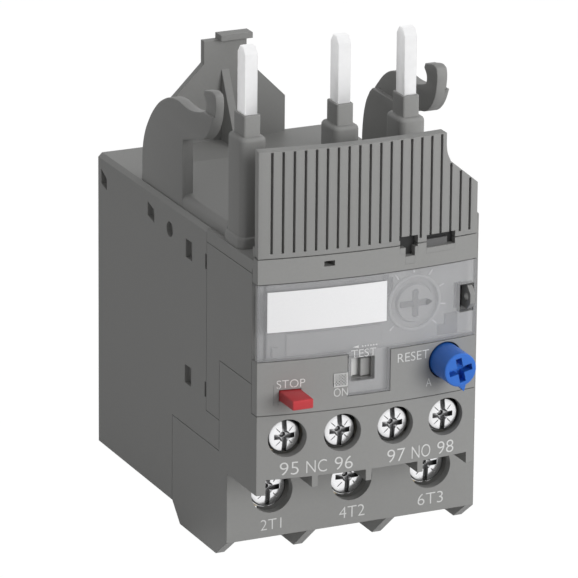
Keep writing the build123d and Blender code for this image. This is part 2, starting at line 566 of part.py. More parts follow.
def pin_shroud():
    """The base strip with a column and a collar round each connection pin."""
    base = block(PIN_X[0] - 2.6, PIN_X[2] + 2.6, PIN_Y - COLUMN_D / 2, 2.3, BODY_TOP, SHROUD_BASE_TOP)
    for x in PIN_X:
        column = block(x - COLUMN_W / 2, x + COLUMN_W / 2, PIN_Y - COLUMN_D / 2, PIN_Y + COLUMN_D / 2,
                       BODY_TOP, COLUMN_TOP)
        column = fillet(column.edges().filter_by(Axis.Z), 1.3)
        column = fillet(column.faces().sort_by(Axis.Z)[-1].edges(), 0.4)
        collar = block(x - COLLAR_W / 2, x + COLLAR_W / 2, PIN_Y - COLLAR_D / 2, PIN_Y + COLLAR_D / 2,
                       COLUMN_TOP - 1, COLLAR_TOP)
        base += column + collar
    for x in PIN_X:
        base -= block(x - PIN_W / 2, x + PIN_W / 2, PIN_Y - PIN_D / 2, PIN_Y + PIN_D / 2,
                      BODY_TOP - 1, COLLAR_TOP + 1)
    return base


def ribbed_cover():
    """The upright grooved cover in front of the pins, with its right corner cut away."""
    right = MOD_RIGHT - 0.1
    cover = bowed_wall(MOD_LEFT, right, STRIP_TOP, COVER_TOP, COVER_T)
    foot = bowed(MOD_LEFT + 0.3, right, BODY_TOP, BODY_TOP + 1.9, -8.0, SKIN + 0.1)
    cover += foot
    corner = [(COVER_SHOULDER_X, COVER_TOP + 1), (COVER_SHOULDER_X, COVER_TOP - 2),
              (COVER_SHOULDER_X + 0.2, COVER_TOP - 3.6),
              (COVER_SHOULDER_X + 0.9, COVER_SHOULDER_Z), (right, COVER_CORNER_Z),
              (right + 2, COVER_CORNER_Z), (right + 2, COVER_TOP + 1)]
    cover -= front_plate(corner, -20, 0)
    for k in range(GROOVE_COUNT):
        x = GROOVE_FIRST + k * GROOVE_PITCH
        reach = 0.9
        if x > COVER_SHOULDER_X:
            reach += COVER_TOP - COVER_SHOULDER_Z + (x - COVER_SHOULDER_X) * 0.82
        cover -= block(x - GROOVE_W / 2, x + GROOVE_W / 2, -20, bow_y(x) + GROOVE_DEPTH,
                       STRIP_TOP + 0.9, COVER_TOP - reach)
    notch = MOD_MID + STRIP_NOTCHES[0][0]
    half = STRIP_NOTCHES[0][1] / 2
    cover -= block(notch - half, notch + half, -20, bow_y(notch) + 1.3, STRIP_TOP - 1, 54.0)
    return cover


def setting_dial():
    """The current setting dial: cross-slotted face, stem and rear collar."""
    dial = rod_y(DIAL_X, DIAL_Z, DIAL_FACE, DIAL_SEAT - 0.05, DIAL_R)
    dial += rod_y(DIAL_X, DIAL_Z, DIAL_SEAT - 0.1, DIAL_END, DIAL_STEM_R)
    dial += rod_y(DIAL_X, DIAL_Z, DIAL_END - 1, DIAL_END, 1.9)
    dial -= block(DIAL_X - 2.4, DIAL_X + 2.4, -20, DIAL_FACE + 0.45, DIAL_Z - 0.35, DIAL_Z + 0.35)
    return dial - block(DIAL_X - 0.35, DIAL_X + 0.35, -20, DIAL_FACE + 0.45, DIAL_Z - 2.4, DIAL_Z + 2.4)


def reset_knob():
    """The knob: a cross slot in front, a bore behind for the plunger."""
    knob = rod_y(RESET_X, RESET_Z, KNOB_FRONT, KNOB_BACK, KNOB_R)
    knob = chamfer(knob.edges().sort_by(Axis.Y)[0], 0.25)
    knob -= block(RESET_X - 2.2, RESET_X + 2.2, -30, KNOB_FRONT + 1.6, RESET_Z - 0.5, RESET_Z + 0.5)
    knob -= block(RESET_X - 0.5, RESET_X + 0.5, -30, KNOB_FRONT + 1.6, RESET_Z - 2.2, RESET_Z + 2.2)
    return knob - rod_y(RESET_X, RESET_Z, KNOB_FRONT + 2.6, KNOB_BACK + 1, RESET_STEM_R + RUN_FIT)


def reset_plunger():
    """The stem that carries the knob, with a spring flange and an end stop."""
    stem = rod_y(RESET_X, RESET_Z, KNOB_FRONT + 2.65, RESET_STOP + 0.6, RESET_STEM_R)
    stem += rod_y(RESET_X, RESET_Z, KNOB_BACK + 0.05, KNOB_BACK + 0.65, KNOB_R - 0.2)
    return stem + rod_y(RESET_X, RESET_Z, RESET_STOP, RESET_STOP + 0.6, RESET_STEM_R + 0.6)


def stop_button():
    """The stop button: its cap, the lip behind the panel and the stem."""
    front = bow_y(STOP_X) - STOP_PROUD
    button = block(STOP_X - STOP_W / 2, STOP_X + STOP_W / 2, front, STOP_FLANGE_Y + 0.5,
                   STOP_Z - STOP_H / 2, STOP_Z + STOP_H / 2)
    button = fillet(button.edges().sort_by(Axis.Y)[:4], 0.4)
    button += block(STOP_X - STOP_W / 2 - STOP_LIP, STOP_X + STOP_W / 2 + STOP_LIP, STOP_FLANGE_Y + 0.05,
                    STOP_FLANGE_Y + 0.75, STOP_Z - STOP_H / 2 - STOP_LIP, STOP_Z + STOP_H / 2 + STOP_LIP)
    return button + rod_y(STOP_X, STOP_Z, STOP_FLANGE_Y, STOP_SEAT + 1.1, STOP_STEM_R)


def test_slider():
    """The test slider: its block behind the slot and the tail that meets the spring."""
    slider = block(TEST_TAIL_LEFT, TEST_BLOCK_RIGHT, TEST_FACE_Y, TEST_FACE_Y + TEST_T,
                   TEST_BLOCK_LOW, TEST_BLOCK_TOP)
    return slider + block(TEST_TAIL_LEFT, TEST_TAIL_RIGHT, TEST_FACE_Y, TEST_FACE_Y + TEST_T,
                          TONGUE_Z - 0.9, TEST_BLOCK_LOW + 0.5)


def trip_slide():
    """The bar along the three bimetals, with a tooth at each and a tab for the lever."""
    y0, y1 = SLIDE_Y - SLIDE_D / 2, SLIDE_Y + SLIDE_D / 2
    bar = block(POLES[0] - 4.6, POLES[2] + 4.6, y0, y1, MECH_Z, MECH_Z + MECH_T)
    for x in POLES:
        bar += block(x + 1.5, x + 3.0, y0, y1, BIMETAL_TOP - 4, MECH_Z + 0.5)
    tab = block(PIVOT[0] - 2.8, PIVOT[0] - 1.8, TAB_Y - 0.7, y0 + 0.5, MECH_Z, MECH_Z + MECH_T)
    tab += block(PIVOT[0] - 2, PIVOT[0] - LEVER_W / 2 - 0.08, TAB_Y - 0.25, TAB_Y + 0.25, MECH_Z, MECH_Z + MECH_T)
    return bar + tab


def trip_lever():
    """The two-armed lever between the slide and the carrier."""
    x, y = PIVOT
    half = LEVER_W / 2
    lever = rod_z(x, y, MECH_Z, MECH_Z + MECH_T, HUB_R)
    lever += block(x - half, x + half, y, TAB_Y + 0.9, MECH_Z, MECH_Z + MECH_T)
    lever += block(CARRIER_X - 1, x, y - half, y + half, MECH_Z, MECH_Z + MECH_T)
    return lever - rod_z(x, y, MECH_Z - 1, MECH_Z + MECH_T + 1, PIVOT_R + RUN_FIT)


def trip_flag():
    """The two-coloured flag: its hub on the lever, an arm forward and the plate."""
    x, y = PIVOT
    z0 = MECH_Z + MECH_T
    hub = rod_z(x, y, z0, FLAG_ARM_Z + FLAG_ARM_T, HUB_R)
    arm = [(x, y - 1), (x + 0.6, y), (FLAG_X + 2.7, FLAG_PLATE_Y + 0.35), (FLAG_X + 1.1, FLAG_PLATE_Y + 0.35), (x - 1.4, y)]
    hub += Pos(0, 0, FLAG_ARM_Z) * extrude(make_face(Polyline(*arm, close=True)), FLAG_ARM_T)
    hub += block(FLAG_X + 0.9, FLAG_X + 2.9, FLAG_PLATE_Y, FLAG_PLATE_Y + 0.7, FLAG_LOW + 3, FLAG_ARM_Z + FLAG_ARM_T)
    hub += block(FLAG_X - 1.3, FLAG_X + 4.8, FLAG_PLATE_Y, FLAG_PLATE_Y + 0.7, FLAG_LOW, FLAG_LOW + 5.0)
    return hub - rod_z(x, y, z0 - 1, FLAG_ARM_Z + FLAG_ARM_T + 1, PIVOT_R + RUN_FIT)


def contact_carrier():
    """The sliding carrier that pushes both moving contacts."""
    x = CARRIER_X
    rear = PIVOT[1] + LEVER_W / 2
    front = CONTACT_Y - CONTACT_T / 2
    left = AUX_X[0] + FINGER_REACH
    right = AUX_X[3] - FINGER_REACH
    carrier = block(x - STEM_W / 2, x + STEM_W / 2, front - 1.6, rear + 1.8, CARRIER_Z, CARRIER_TOP)
    carrier += block(x - STEM_W / 2, x + STEM_W / 2, rear + 0.8, rear + 1.8, MECH_Z, CARRIER_TOP)
    carrier += block(x - 0.3, x + 0.3, rear + 0.1, rear + 1, MECH_Z, MECH_Z + MECH_T)
    carrier += block(left - 0.6, right + 0.6, front - 1.6, front - 0.6, MECH_Z, CARRIER_TOP)
    for tip in (left, right):
        carrier += block(tip - 0.6, tip + 0.6, front - 1.6, front - 0.6, CONTACT_Z, MECH_Z + 0.5)
        carrier += block(tip - 0.25, tip + 0.25, front - 1, front - 0.08, CONTACT_Z, CONTACT_Z + CONTACT_H)
    return carrier


def contact_arm(pivot_x, direction):
    """A flat moving contact on its hub."""
    z0, z1 = CONTACT_Z, CONTACT_Z + CONTACT_H
    x0, x1 = sorted((pivot_x, pivot_x + direction * CONTACT_REACH))
    arm = block(x0, x1, CONTACT_Y - CONTACT_T / 2, CONTACT_Y + CONTACT_T / 2, z0, z1)
    arm += rod_z(pivot_x, CONTACT_Y, z0, z1, CONTACT_HUB_R)
    return arm - rod_z(pivot_x, CONTACT_Y, z0 - 1, z1 + 1, CONTACT_PIN_R + RUN_FIT)


def pivot_plate(k):
    """An outer auxiliary plate: clamping face, neck, two ears and the contact's pin."""
    x = AUX_X[k]
    plate = plate_face(k) + plate_neck(k, AUX_PLATE_TOP)
    rear = AUX_PLATE_Y + AUX_PLATE_T
    for z0, z1 in ((CONTACT_Z - 1.0, CONTACT_Z - 0.05), (CONTACT_Z + CONTACT_H + 0.05, AUX_PLATE_TOP)):
        plate += block(x - 0.9, x + 0.9, rear - 0.3, CONTACT_Y + CONTACT_HUB_R, z0, z1)
    return plate + rod_z(x, CONTACT_Y, CONTACT_Z - 1.0, AUX_PLATE_TOP, CONTACT_PIN_R)


def plate_face(k):
    """The part of an auxiliary plate that the wire is clamped against."""
    x = AUX_X[k]
    face = block(x - 3.2, x + 3.2, AUX_PLATE_Y, AUX_PLATE_Y + AUX_PLATE_T, 16.5, 24.2)
    return face - rod_y(x, AUX_Z, AUX_PLATE_Y - 1, AUX_PLATE_Y + 2, AUX_SHAFT_R + 0.05)


def plate_neck(k, top):
    """The neck that leads from the terminal up to the contacts."""
    x = AUX_X[k]
    return block(x - NECK_W / 2, x + NECK_W / 2, AUX_PLATE_Y, AUX_PLATE_Y + AUX_PLATE_T, 24, top)


def closed_plate():
    """The plate whose button the closed contact rests on."""
    x = AUX_X[1]
    y = AUX_PLATE_Y + AUX_PLATE_T
    plate = plate_face(1) + plate_neck(1, CONTACT_Z + 2.5)
    return plate + rod_y(x, CONTACT_Z + 1, y - 0.2, CONTACT_Y - CONTACT_T / 2 - 0.05, 0.6)


def open_plate():
    """The plate whose button waits behind the open contact."""
    x = AUX_X[2]
    jog = 30.0
    plate = plate_face(2) + plate_neck(2, jog + 1)
    plate += block(x - NECK_W / 2, x + NECK_W / 2, AUX_PLATE_Y, OPEN_Y + AUX_PLATE_T, jog, jog + 1)
    plate += block(x - NECK_W / 2, x + NECK_W / 2, OPEN_Y, OPEN_Y + AUX_PLATE_T, jog, CONTACT_Z + 2.5)
    return plate + rod_y(x + 0.25, CONTACT_Z + 1, OPEN_Y - 0.45, OPEN_Y + 0.2, 0.5)


def aux_screw(k):
    """A terminal screw with a round head; its slots are cut in the head."""
    x = AUX_X[k]
    y = aux_face(k)
    screw = rod_y(x, AUX_Z, y, y + AUX_HEAD_T, AUX_HEAD_R)
    screw = chamfer(screw.edges().sort_by(Axis.Y)[0], 0.3)
    screw += rod_y(x, AUX_Z, y + AUX_HEAD_T - 0.5, -1.0, AUX_SHAFT_R)
    return screw - screw_slots(x, AUX_Z, y, AUX_HEAD_R)


def aux_face(k):
    """Where the head of an auxiliary screw lies, behind the bowed front."""
    return bow_y(AUX_X[k]) + 1.0


def screw_slots(x, z, y, r):
    """The long slot and the shorter cross slot of a combination screw head."""
    return block(x - 0.4, x + 0.4, y - 1, y + 0.9, z - r, z + r) + block(
        x - 0.6 * r, x + 0.6 * r, y - 1, y + 0.9, z - 0.4, z + 0.4)


def aux_clamp(k):
    """The square washer behind an auxiliary screw's head."""
    x = AUX_X[k]
    y = aux_face(k) + AUX_HEAD_T
    plate = block(x - 3.5, x + 3.5, y, y + 1.0, AUX_Z - 2.4, AUX_Z + 2.4)
    return plate - rod_y(x, AUX_Z, y - 1, y + 2, AUX_SHAFT_R + 0.07)


def main_screw(x):
    """A main terminal screw, turning in place against its terminal bar."""
    screw = rod_y(x, MAIN_Z, 1.6, 3.4, MAIN_HEAD_R)
    screw = chamfer(screw.edges().sort_by(Axis.Y)[0], 0.3)
    screw += rod_y(x, MAIN_Z, 3.0, BAR_Y, MAIN_SHAFT_R)
    return screw - screw_slots(x, MAIN_Z, 1.6, MAIN_HEAD_R)


def main_clamp(x):
    """The cage that the main screw draws forward over the wire."""
    cage = block(x - 4.6, x + 4.6, CAGE_FRONT, CAGE_REAR, CAGE_LOW, CAGE_TOP)
    cage -= block(x - 3.4, x + 3.4, CAGE_FRONT + 1.8, CAGE_REAR - 1.2, CAGE_LOW - 1, CAGE_TOP + 1)
    return cage - rod_y(x, MAIN_Z, 0, CAGE_FRONT + 3, MAIN_SHAFT_R + 0.05)


def load_terminal(x):
    """The outgoing bar with its leg, which carries the heater and the bimetal."""
    bar = block(x - 3, x + 3, BAR_Y, BAR_Y + 1.2, 1, LEG_Z + LEG_T)
    return bar + block(x - LEG_W / 2, x + LEG_W / 2, BAR_Y, LEG_REAR, LEG_Z, LEG_Z + LEG_T)


def heater(x):
    """The heater strip, folded beside the bimetal, up to the incoming conductor."""
    foot = LEG_Z + LEG_T
    outline = [(24.2, foot), (25.4, foot), (25.4, 33), (26.2, 33), (26.2, 16), (BUS_REAR, 16), (BUS_REAR, BUS_Z),
               (BUS_REAR - 1.6, BUS_Z), (BUS_REAR - 1.6, 17.2), (27.4, 17.2), (27.4, 34.2), (24.2, 34.2)]
    return side_plate(outline, x - 1.6, x - 0.8)


def bimetal(x):
    """The bimetal strip, free at its top where it meets the slide's tooth."""
    return block(x, x + 1.0, 24.3, 28.3, LEG_Z + LEG_T, BIMETAL_TOP)


def phase_conductor(k):
    """One connection pin and the bar that leads from it back to its pole."""
    x = PIN_X[k]
    pole = POLES[k]
    half = BUS_W / 2
    pin = block(x - PIN_W / 2, x + PIN_W / 2, PIN_Y - PIN_D / 2, PIN_Y + PIN_D / 2, BUS_Z, PIN_TOP)
    tip = pin.faces().sort_by(Axis.Z)[-1].edges()
    pin = chamfer(tip, PIN_POINT * 0.7)
    bar = block(x - half, x + half, PIN_Y, BUS_JOG + half, BUS_Z, BUS_Z + 2)
    bar += block(min(x, pole) - half, max(x, pole) + half, BUS_JOG - half, BUS_JOG + half, BUS_Z, BUS_Z + 2)
    bar += block(pole - half, pole + half, BUS_JOG, BUS_REAR, BUS_Z, BUS_Z + 2)
    bar += block(pole - 1.6, pole, BUS_REAR - 3, BUS_REAR, BUS_Z, BUS_Z + 2)
    return pin + bar


emit(rear_housing(), "rear_housing")
emit(terminal_block(), "terminal_block")
emit(control_panel(), "control_panel")
emit(side_cover(), "side_cover")
emit(latch_cover(), "latch_cover")
emit(pin_shroud(), "pin_shroud")
emit(ribbed_cover(), "ribbed_cover")
emit(window(), "window")
emit(marker_label(), "marker_label")
emit(setting_dial(), "setting_dial")
emit(reset_knob(), "reset_knob")
emit(reset_plunger(), "reset_plunger")
emit(Pos(RESET_X, KNOB_BACK + 0.65, RESET_Z) * Rot(-90, 0, 0) * coil(
    RESET_SEAT - KNOB_BACK - 0.65, 2.0, 0.2, 2.5), "reset_spring")
emit(stop_button(), "stop_button")
emit(Pos(STOP_X, STOP_FLANGE_Y + 0.75, STOP_Z) * Rot(-90, 0, 0) * coil(
    STOP_SEAT - STOP_FLANGE_Y - 0.75, 1.2, 0.15, 2.5), "stop_spring")
emit(test_slider(), "test_slider")
emit(Pos(TEST_SPRING_LEFT, TEST_FACE_Y + 0.8, TONGUE_Z + 0.2) * Rot(0, 90, 0) * coil(
    TEST_TAIL_LEFT - TEST_SPRING_LEFT, 0.6, 0.12, 3.5), "test_spring")
emit(trip_slide(), "trip_slide")
emit(trip_lever(), "trip_lever")
emit(rod_z(PIVOT[0], PIVOT[1], MECH_Z - PIN_DEPTH, FLAG_ARM_Z + FLAG_ARM_T + 0.2, PIVOT_R), "lever_pin")
emit(trip_flag(), "trip_flag")
emit(contact_carrier(), "contact_carrier")
emit(contact_arm(AUX_X[0], 1), "nc_contact_arm")
emit(contact_arm(AUX_X[3], -1), "no_contact_arm")
emit(pivot_plate(0), "aux_plate_1")
emit(closed_plate(), "aux_plate_2")
emit(open_plate(), "aux_plate_3")
emit(pivot_plate(3), "aux_plate_4")
for number in range(4):
    emit(aux_screw(number), f"aux_screw_{number + 1}")
    emit(aux_clamp(number), f"aux_clamp_{number + 1}")
for number, pole_x in enumerate(POLES):
    emit(main_screw(pole_x), f"main_screw_{number + 1}")
    emit(main_clamp(pole_x), f"main_clamp_{number + 1}")
    emit(load_terminal(pole_x), f"load_terminal_{number + 1}")
    emit(heater(pole_x), f"heater_{number + 1}")
    emit(bimetal(pole_x), f"bimetal_{number + 1}")
    emit(phase_conductor(number), f"phase_conductor_{number + 1}")
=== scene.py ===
import bpy
import json
from math import cos, pi, radians, sin, sqrt
from mathutils import Matrix, Vector


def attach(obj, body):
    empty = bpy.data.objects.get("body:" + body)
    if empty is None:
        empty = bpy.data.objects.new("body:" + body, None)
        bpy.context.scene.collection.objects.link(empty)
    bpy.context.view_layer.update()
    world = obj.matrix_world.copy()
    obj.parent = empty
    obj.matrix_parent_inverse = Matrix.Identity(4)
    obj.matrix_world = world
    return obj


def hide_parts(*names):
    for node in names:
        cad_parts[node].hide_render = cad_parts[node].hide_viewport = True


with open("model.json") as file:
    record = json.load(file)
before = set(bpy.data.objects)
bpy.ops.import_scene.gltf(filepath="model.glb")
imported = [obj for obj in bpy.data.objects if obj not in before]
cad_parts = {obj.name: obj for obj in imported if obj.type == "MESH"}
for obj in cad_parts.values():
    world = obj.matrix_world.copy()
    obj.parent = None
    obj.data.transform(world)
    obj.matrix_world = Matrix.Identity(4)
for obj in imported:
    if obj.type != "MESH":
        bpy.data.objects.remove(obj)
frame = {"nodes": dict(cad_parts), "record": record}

# Thermal overload relay: its finishes, the pieces that stand in for simpler packed ones, the small
# details on them, the printing, and the floor, light and camera.
# Sizes are in millimetres as on the relay itself, where y = 0 is the lower terminal row's face and
# z = 0 its bottom edge; at() brings them into the frame.

MM = 0.001
ROW_FACE_Y = -17.23223
ROW_EDGE_Z = 4.3
BOW_R = 112.0
BOW_FRONT = 13.7
POLES = (-14.4, 0.0, 14.4)
AUX_X = (-17.45, -8.15, 1.15, 10.45)
KNOB_X, KNOB_Z = 10.2, 31.5
DIAL_X, DIAL_Z = 5.2, 41.5
STOP_X, STOP_Z = -17.4, 29.2
PRINT_LIFT = 0.03
PRINT_T = 0.03

bpy.ops.object.select_all(action="DESELECT")
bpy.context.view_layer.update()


def at(x, y, z):
    """A point of the relay in the frame, in metres."""
    return Vector((x * MM, (y + ROW_FACE_Y) * MM, (z + ROW_EDGE_Z) * MM))


def bow_y(x, inset=0.0):
    """Where the bowed front lies at x."""
    return BOW_R - BOW_FRONT - sqrt((BOW_R - inset) ** 2 - x ** 2)


# Material nodes

class Value:
    """A socket of a material; sums with it add Math nodes."""

    def __init__(self, tree, socket):
        self.tree = tree
        self.socket = socket

    def math(self, operation, *terms):
        node = self.tree.nodes.new("ShaderNodeMath")
        node.operation = operation
        for entry, term in zip(node.inputs, terms):
            fill(self.tree, entry, term)
        return Value(self.tree, node.outputs[0])

    def __add__(self, other):
        return self.math("ADD", self, other)

    def __radd__(self, other):
        return self.math("ADD", other, self)

    def __rsub__(self, other):
        return self.math("SUBTRACT", other, self)

    def __mul__(self, other):
        return self.math("MULTIPLY", self, other)

    def above(self, edge):
        return self.math("GREATER_THAN", self, edge)

    def highest(self, other):
        return self.math("MAXIMUM", self, other)


def fill(tree, entry, value):
    """Links a value to a socket, or writes the number or colour on it."""
    if isinstance(value, Value):
        tree.links.new(value.socket, entry)
    elif isinstance(value, tuple) and entry.type == "RGBA":
        entry.default_value = (*value[:3], 1.0)
    else:
        entry.default_value = value


class Finish:
    """One material and the nodes in it."""

    def __init__(self, name):
        self.material = bpy.data.materials.new(name)
        self.material.use_nodes = True
        self.tree = self.material.node_tree
        self.tree.nodes.clear()

    def node(self, kind, settings=None, sockets=None, output=0):
        node = self.tree.nodes.new("ShaderNode" + kind)
        for key, value in (settings or {}).items():
            if key == "stops":
                ramp = node.color_ramp.elements
                for element, (place, shade) in zip((ramp[0], ramp[1]), value):
                    element.position = place
                    element.color = (shade, shade, shade, 1.0)
            else:
                setattr(node, key, value)
        for key, value in (sockets or {}).items():
            fill(self.tree, node.inputs[key], value)
        return Value(self.tree, node.outputs[output])

    def place(self):
        return self.node("TexCoord", output="Object")

    def noise(self, size, detail=3.0, rough=0.5):
        """Noise whose spots are about size millimetres across."""
        return self.node("TexNoise", {"noise_dimensions": "3D"}, {
            "Vector": self.place(), "Scale": 1.0 / (size * MM), "Detail": detail, "Roughness": rough})

    def blend(self, factor, first, second):
        return self.node("Mix", {"data_type": "RGBA"}, {0: factor, 6: first, 7: second}, 2)

    def ramp(self, value, low, high):
        return self.node("ValToRGB", {"stops": ((low, 0.0), (high, 1.0))}, {"Fac": value})

    def surface(self, **sockets):
        names = {key.replace("_", " "): value for key, value in sockets.items()}
        shader = self.node("BsdfPrincipled", None, names)
        self.node_output(shader)
        return self.material

    def node_output(self, shader):
        node = self.tree.nodes.new("ShaderNodeOutputMaterial")
        self.tree.links.new(shader.socket, node.inputs["Surface"])

    def relief(self, height, strength, depth, edge):
        """Small relief on top of edges rounded by edge millimetres."""
        soft = self.node("Bevel", {"samples": 6}, {"Radius": edge * MM})
        return self.node("Bump", None, {"Height": height, "Strength": strength,
                                        "Distance": depth * MM, "Normal": soft})


def shade(colour, factor):
    return tuple(min(1.0, part * factor) for part in colour)


def moulding(name, colour, roughness=0.5):
    """A moulded plastic with fine spark-eroded grain, faint flow clouds and rubbed spots."""
    f = Finish(name)
    fine = f.noise(0.16, 2.0)
    cloud = f.noise(9.0, 4.0, 0.6)
    specks = f.ramp(f.noise(0.5, 1.0), 0.3, 0.75)
    tone = f.blend(cloud, shade(colour, 0.955), shade(colour, 1.045))
    tone = f.blend(specks * 0.12, tone, shade(colour, 1.22))
    return f.surface(Base_Color=tone, Roughness=roughness - 0.06 + cloud * 0.1 + fine * 0.06,
                     IOR=1.47, Normal=f.relief(fine, 0.35, 0.012, 0.16))


def glossy(name, colour, roughness):
    """A smoother moulded plastic, as on the buttons."""
    f = Finish(name)
    cloud = f.noise(2.4, 3.0)
    fine = f.noise(0.12, 1.0)
    tone = f.blend(cloud, shade(colour, 0.93), shade(colour, 1.06))
    return f.surface(Base_Color=tone, Roughness=roughness + cloud * 0.08,
                     IOR=1.5, Normal=f.relief(fine, 0.2, 0.006, 0.18))


def clear_pane():
    """Clear polycarbonate: see-through, with a faint haze; its cut edges get painted shade, darker and
    less clear.
    """
    f = Finish("clear_pane")
    haze = f.noise(3.0, 3.0)
    fine = f.noise(0.4, 2.0)
    facing = f.node("SeparateXYZ", None, {0: f.node("NewGeometry", output="True Normal")}, 1)
    # Painted shade: the side faces, that is the cut edges, are darker and less clear.
    edge = 1.0 - facing.math("ABSOLUTE", facing).above(0.8)
    tone = f.blend(haze, (0.62, 0.625, 0.64), (0.72, 0.725, 0.74))
    tone = f.blend(edge, tone, (0.20, 0.20, 0.20))
    return f.surface(Base_Color=tone, Roughness=0.1 + haze * 0.06,
                     Alpha=0.27 + haze * 0.05 + edge * 0.45,
                     IOR=1.58, Normal=f.relief(fine, 0.12, 0.01, 0.1))


def paper():
    f = Finish("label_paper")
    fibre = f.noise(0.22, 4.0, 0.7)
    cloud = f.noise(5.0, 2.0)
    tone = f.blend(fibre, (0.80, 0.80, 0.81), (0.88, 0.88, 0.885))
    return f.surface(Base_Color=tone, Roughness=0.72 + cloud * 0.1,
                     Normal=f.relief(fibre, 0.25, 0.01, 0.05))


def print_ink():
    f = Finish("pad_print")
    fine = f.noise(0.1, 2.0)
    tone = f.blend(fine, (0.60, 0.60, 0.595), (0.74, 0.74, 0.735))
    return f.surface(Base_Color=tone, Roughness=0.5 + fine * 0.15,
                     Normal=f.relief(fine, 0.2, 0.004, 0.02))


def plated(name, colour, roughness, streak=(1.0, 1.0, 1.0), size=0.5, recess=0.0):
    """A plated metal with streaks along one way and faint clouds in its gloss.

    With recess, painted shade darkens the colour of its slots and corners over that many millimetres.
    """
    f = Finish(name)
    stretched = f.node("Mapping", None, {"Vector": f.place(), "Scale": streak})
    streaks = f.node("TexNoise", None, {"Vector": stretched, "Scale": 1.0 / (size * MM), "Detail": 3.0})
    cloud = f.noise(1.6, 3.0)
    tone = f.blend(cloud, shade(colour, 0.92), shade(colour, 1.04))
    if recess:
        # Painted shade: ambient occlusion darkens the colour in slots and corners.
        depth = f.node("AmbientOcclusion", {"samples": 8}, {"Distance": recess * MM}, 1)
        tone = f.blend(f.ramp(depth, 0.35, 0.85), shade(colour, 0.10), tone)
    return f.surface(Base_Color=tone, Metallic=1.0, Roughness=roughness + streaks * 0.12 + cloud * 0.05,
                     Normal=f.relief(streaks, 0.2, 0.008, 0.12))


finishes = {
    "housing": moulding("housing_moulding", (0.264, 0.264, 0.258)),
    "panel": moulding("panel_moulding", (0.270, 0.270, 0.264)),
    "clear": clear_pane(),
    "label": paper(),
    "blue": glossy("blue_knob", (0.026, 0.145, 0.56), 0.34),
    "red": glossy("red_button", (0.47, 0.034, 0.042), 0.36),
    "dial": moulding("dial_moulding", (0.30, 0.30, 0.295), 0.42),
    "light": glossy("light_moulding", (0.62, 0.62, 0.61), 0.42),
    "pin": plated("tinned_copper", (0.95, 0.95, 0.955), 0.34, (1.0, 1.0, 0.12), 0.4),
    # The screws' slots and corners get painted shade from ambient occlusion.
    "screw": plated("zinc_plate", (0.93, 0.93, 0.94), 0.12, (1.0, 1.0, 1.0), 0.3, recess=1.6),
    "contact": plated("brass_strip", (0.66, 0.55, 0.36), 0.34, (0.2, 1.0, 1.0)),
    "steel": plated("spring_steel", (0.48, 0.48, 0.49), 0.28, (1.0, 1.0, 0.2)),
    "inner": moulding("natural_moulding", (0.60, 0.56, 0.47), 0.45),
}
ink = print_ink()
# Near-black finish for plates that stand for the shade in slots and openings: painted shadow.
shadow_grey = moulding("painted_shadow_moulding", (0.028, 0.028, 0.028), 0.65)
cross_grey = moulding("cross_moulding", (0.03, 0.03, 0.03), 0.5)
# Panel grey darkened: painted shade for the recessed step face in the right catch.
step_shade_grey = moulding("catch_step_shade_moulding", (0.12, 0.12, 0.12), 0.55)
ring_grey = moulding("scale_moulding", (0.36, 0.36, 0.355), 0.45)

for part in frame["record"]["subparts"]:
    node = frame["nodes"][part["node"]]
    material = finishes[part["material_slot"]]
    if not node.material_slots:
        node.data.materials.append(material)
    for entry in node.material_slots:
        entry.material = material


# Shaping tools

def begin():
    """Leaves nothing selected."""
    if bpy.context.object and bpy.context.object.mode == "EDIT":
        bpy.ops.object.mode_set(mode="OBJECT")
    bpy.ops.object.select_all(action="DESELECT")


def grab(piece):
    """Selects only this piece and makes it the active one."""
    begin()
    piece.select_set(True)
    bpy.context.view_layer.objects.active = piece


def settle():
    """Puts the new piece's place, turn and size into its mesh."""
    bpy.ops.object.transform_apply(location=True, rotation=True, scale=True)
    return bpy.context.object


def box_piece(x0, x1, y0, y1, z0, z1, turn=(0, 0, 0)):
    begin()
    centre = at((x0 + x1) / 2, (y0 + y1) / 2, (z0 + z1) / 2)
    bpy.ops.mesh.primitive_cube_add(size=1, location=centre, rotation=turn)
    bpy.context.object.scale = ((x1 - x0) * MM, (y1 - y0) * MM, (z1 - z0) * MM)
    return settle()


def round_piece(x, z, y0, y1, r, sides=64):
    """A round bar along Y whose front end is at y0."""
    begin()
    bpy.ops.mesh.primitive_cylinder_add(vertices=sides, radius=r * MM, depth=(y1 - y0) * MM,
                                        location=at(x, (y0 + y1) / 2, z), rotation=(pi / 2, 0, 0))
    return settle()


def open_whole(piece):
    """Opens the piece in edit mode with all of it selected."""
    grab(piece)
    bpy.ops.object.mode_set(mode="EDIT")
    bpy.ops.mesh.select_all(action="SELECT")


def choose(piece, kind, parts, test):
    """Opens the piece in edit mode with those of its parts selected that pass the test."""
    grab(piece)
    bpy.ops.object.mode_set(mode="EDIT")
    bpy.ops.mesh.select_mode(type=kind)
    bpy.ops.mesh.select_all(action="DESELECT")
    bpy.ops.object.mode_set(mode="OBJECT")
    for part in parts:
        part.select = test(part)
    bpy.ops.object.mode_set(mode="EDIT")


def pick(piece, test):
    choose(piece, "FACE", piece.data.polygons, test)


def pick_points(piece, test):
    choose(piece, "VERT", piece.data.vertices, lambda point: test(point.co))


def pick_edges(piece, test):
    choose(piece, "EDGE", piece.data.edges, test)


def leave_edit():
    bpy.ops.object.mode_set(mode="OBJECT")


def place_again(piece):
    """Selects the moved piece and puts its place and turn into its mesh."""
    grab(piece)
    return settle()


def apply_modifier(piece, kind, **settings):
    grab(piece)
    modifier = piece.modifiers.new(kind.lower(), kind)
    for key, value in settings.items():
        setattr(modifier, key, value)
    bpy.ops.object.modifier_apply(modifier=modifier.name)
    return piece


def round_edges(piece, width, segments=3, angle=40):
    return apply_modifier(piece, "BEVEL", width=width * MM, segments=segments,
                          limit_method="ANGLE", angle_limit=radians(angle))


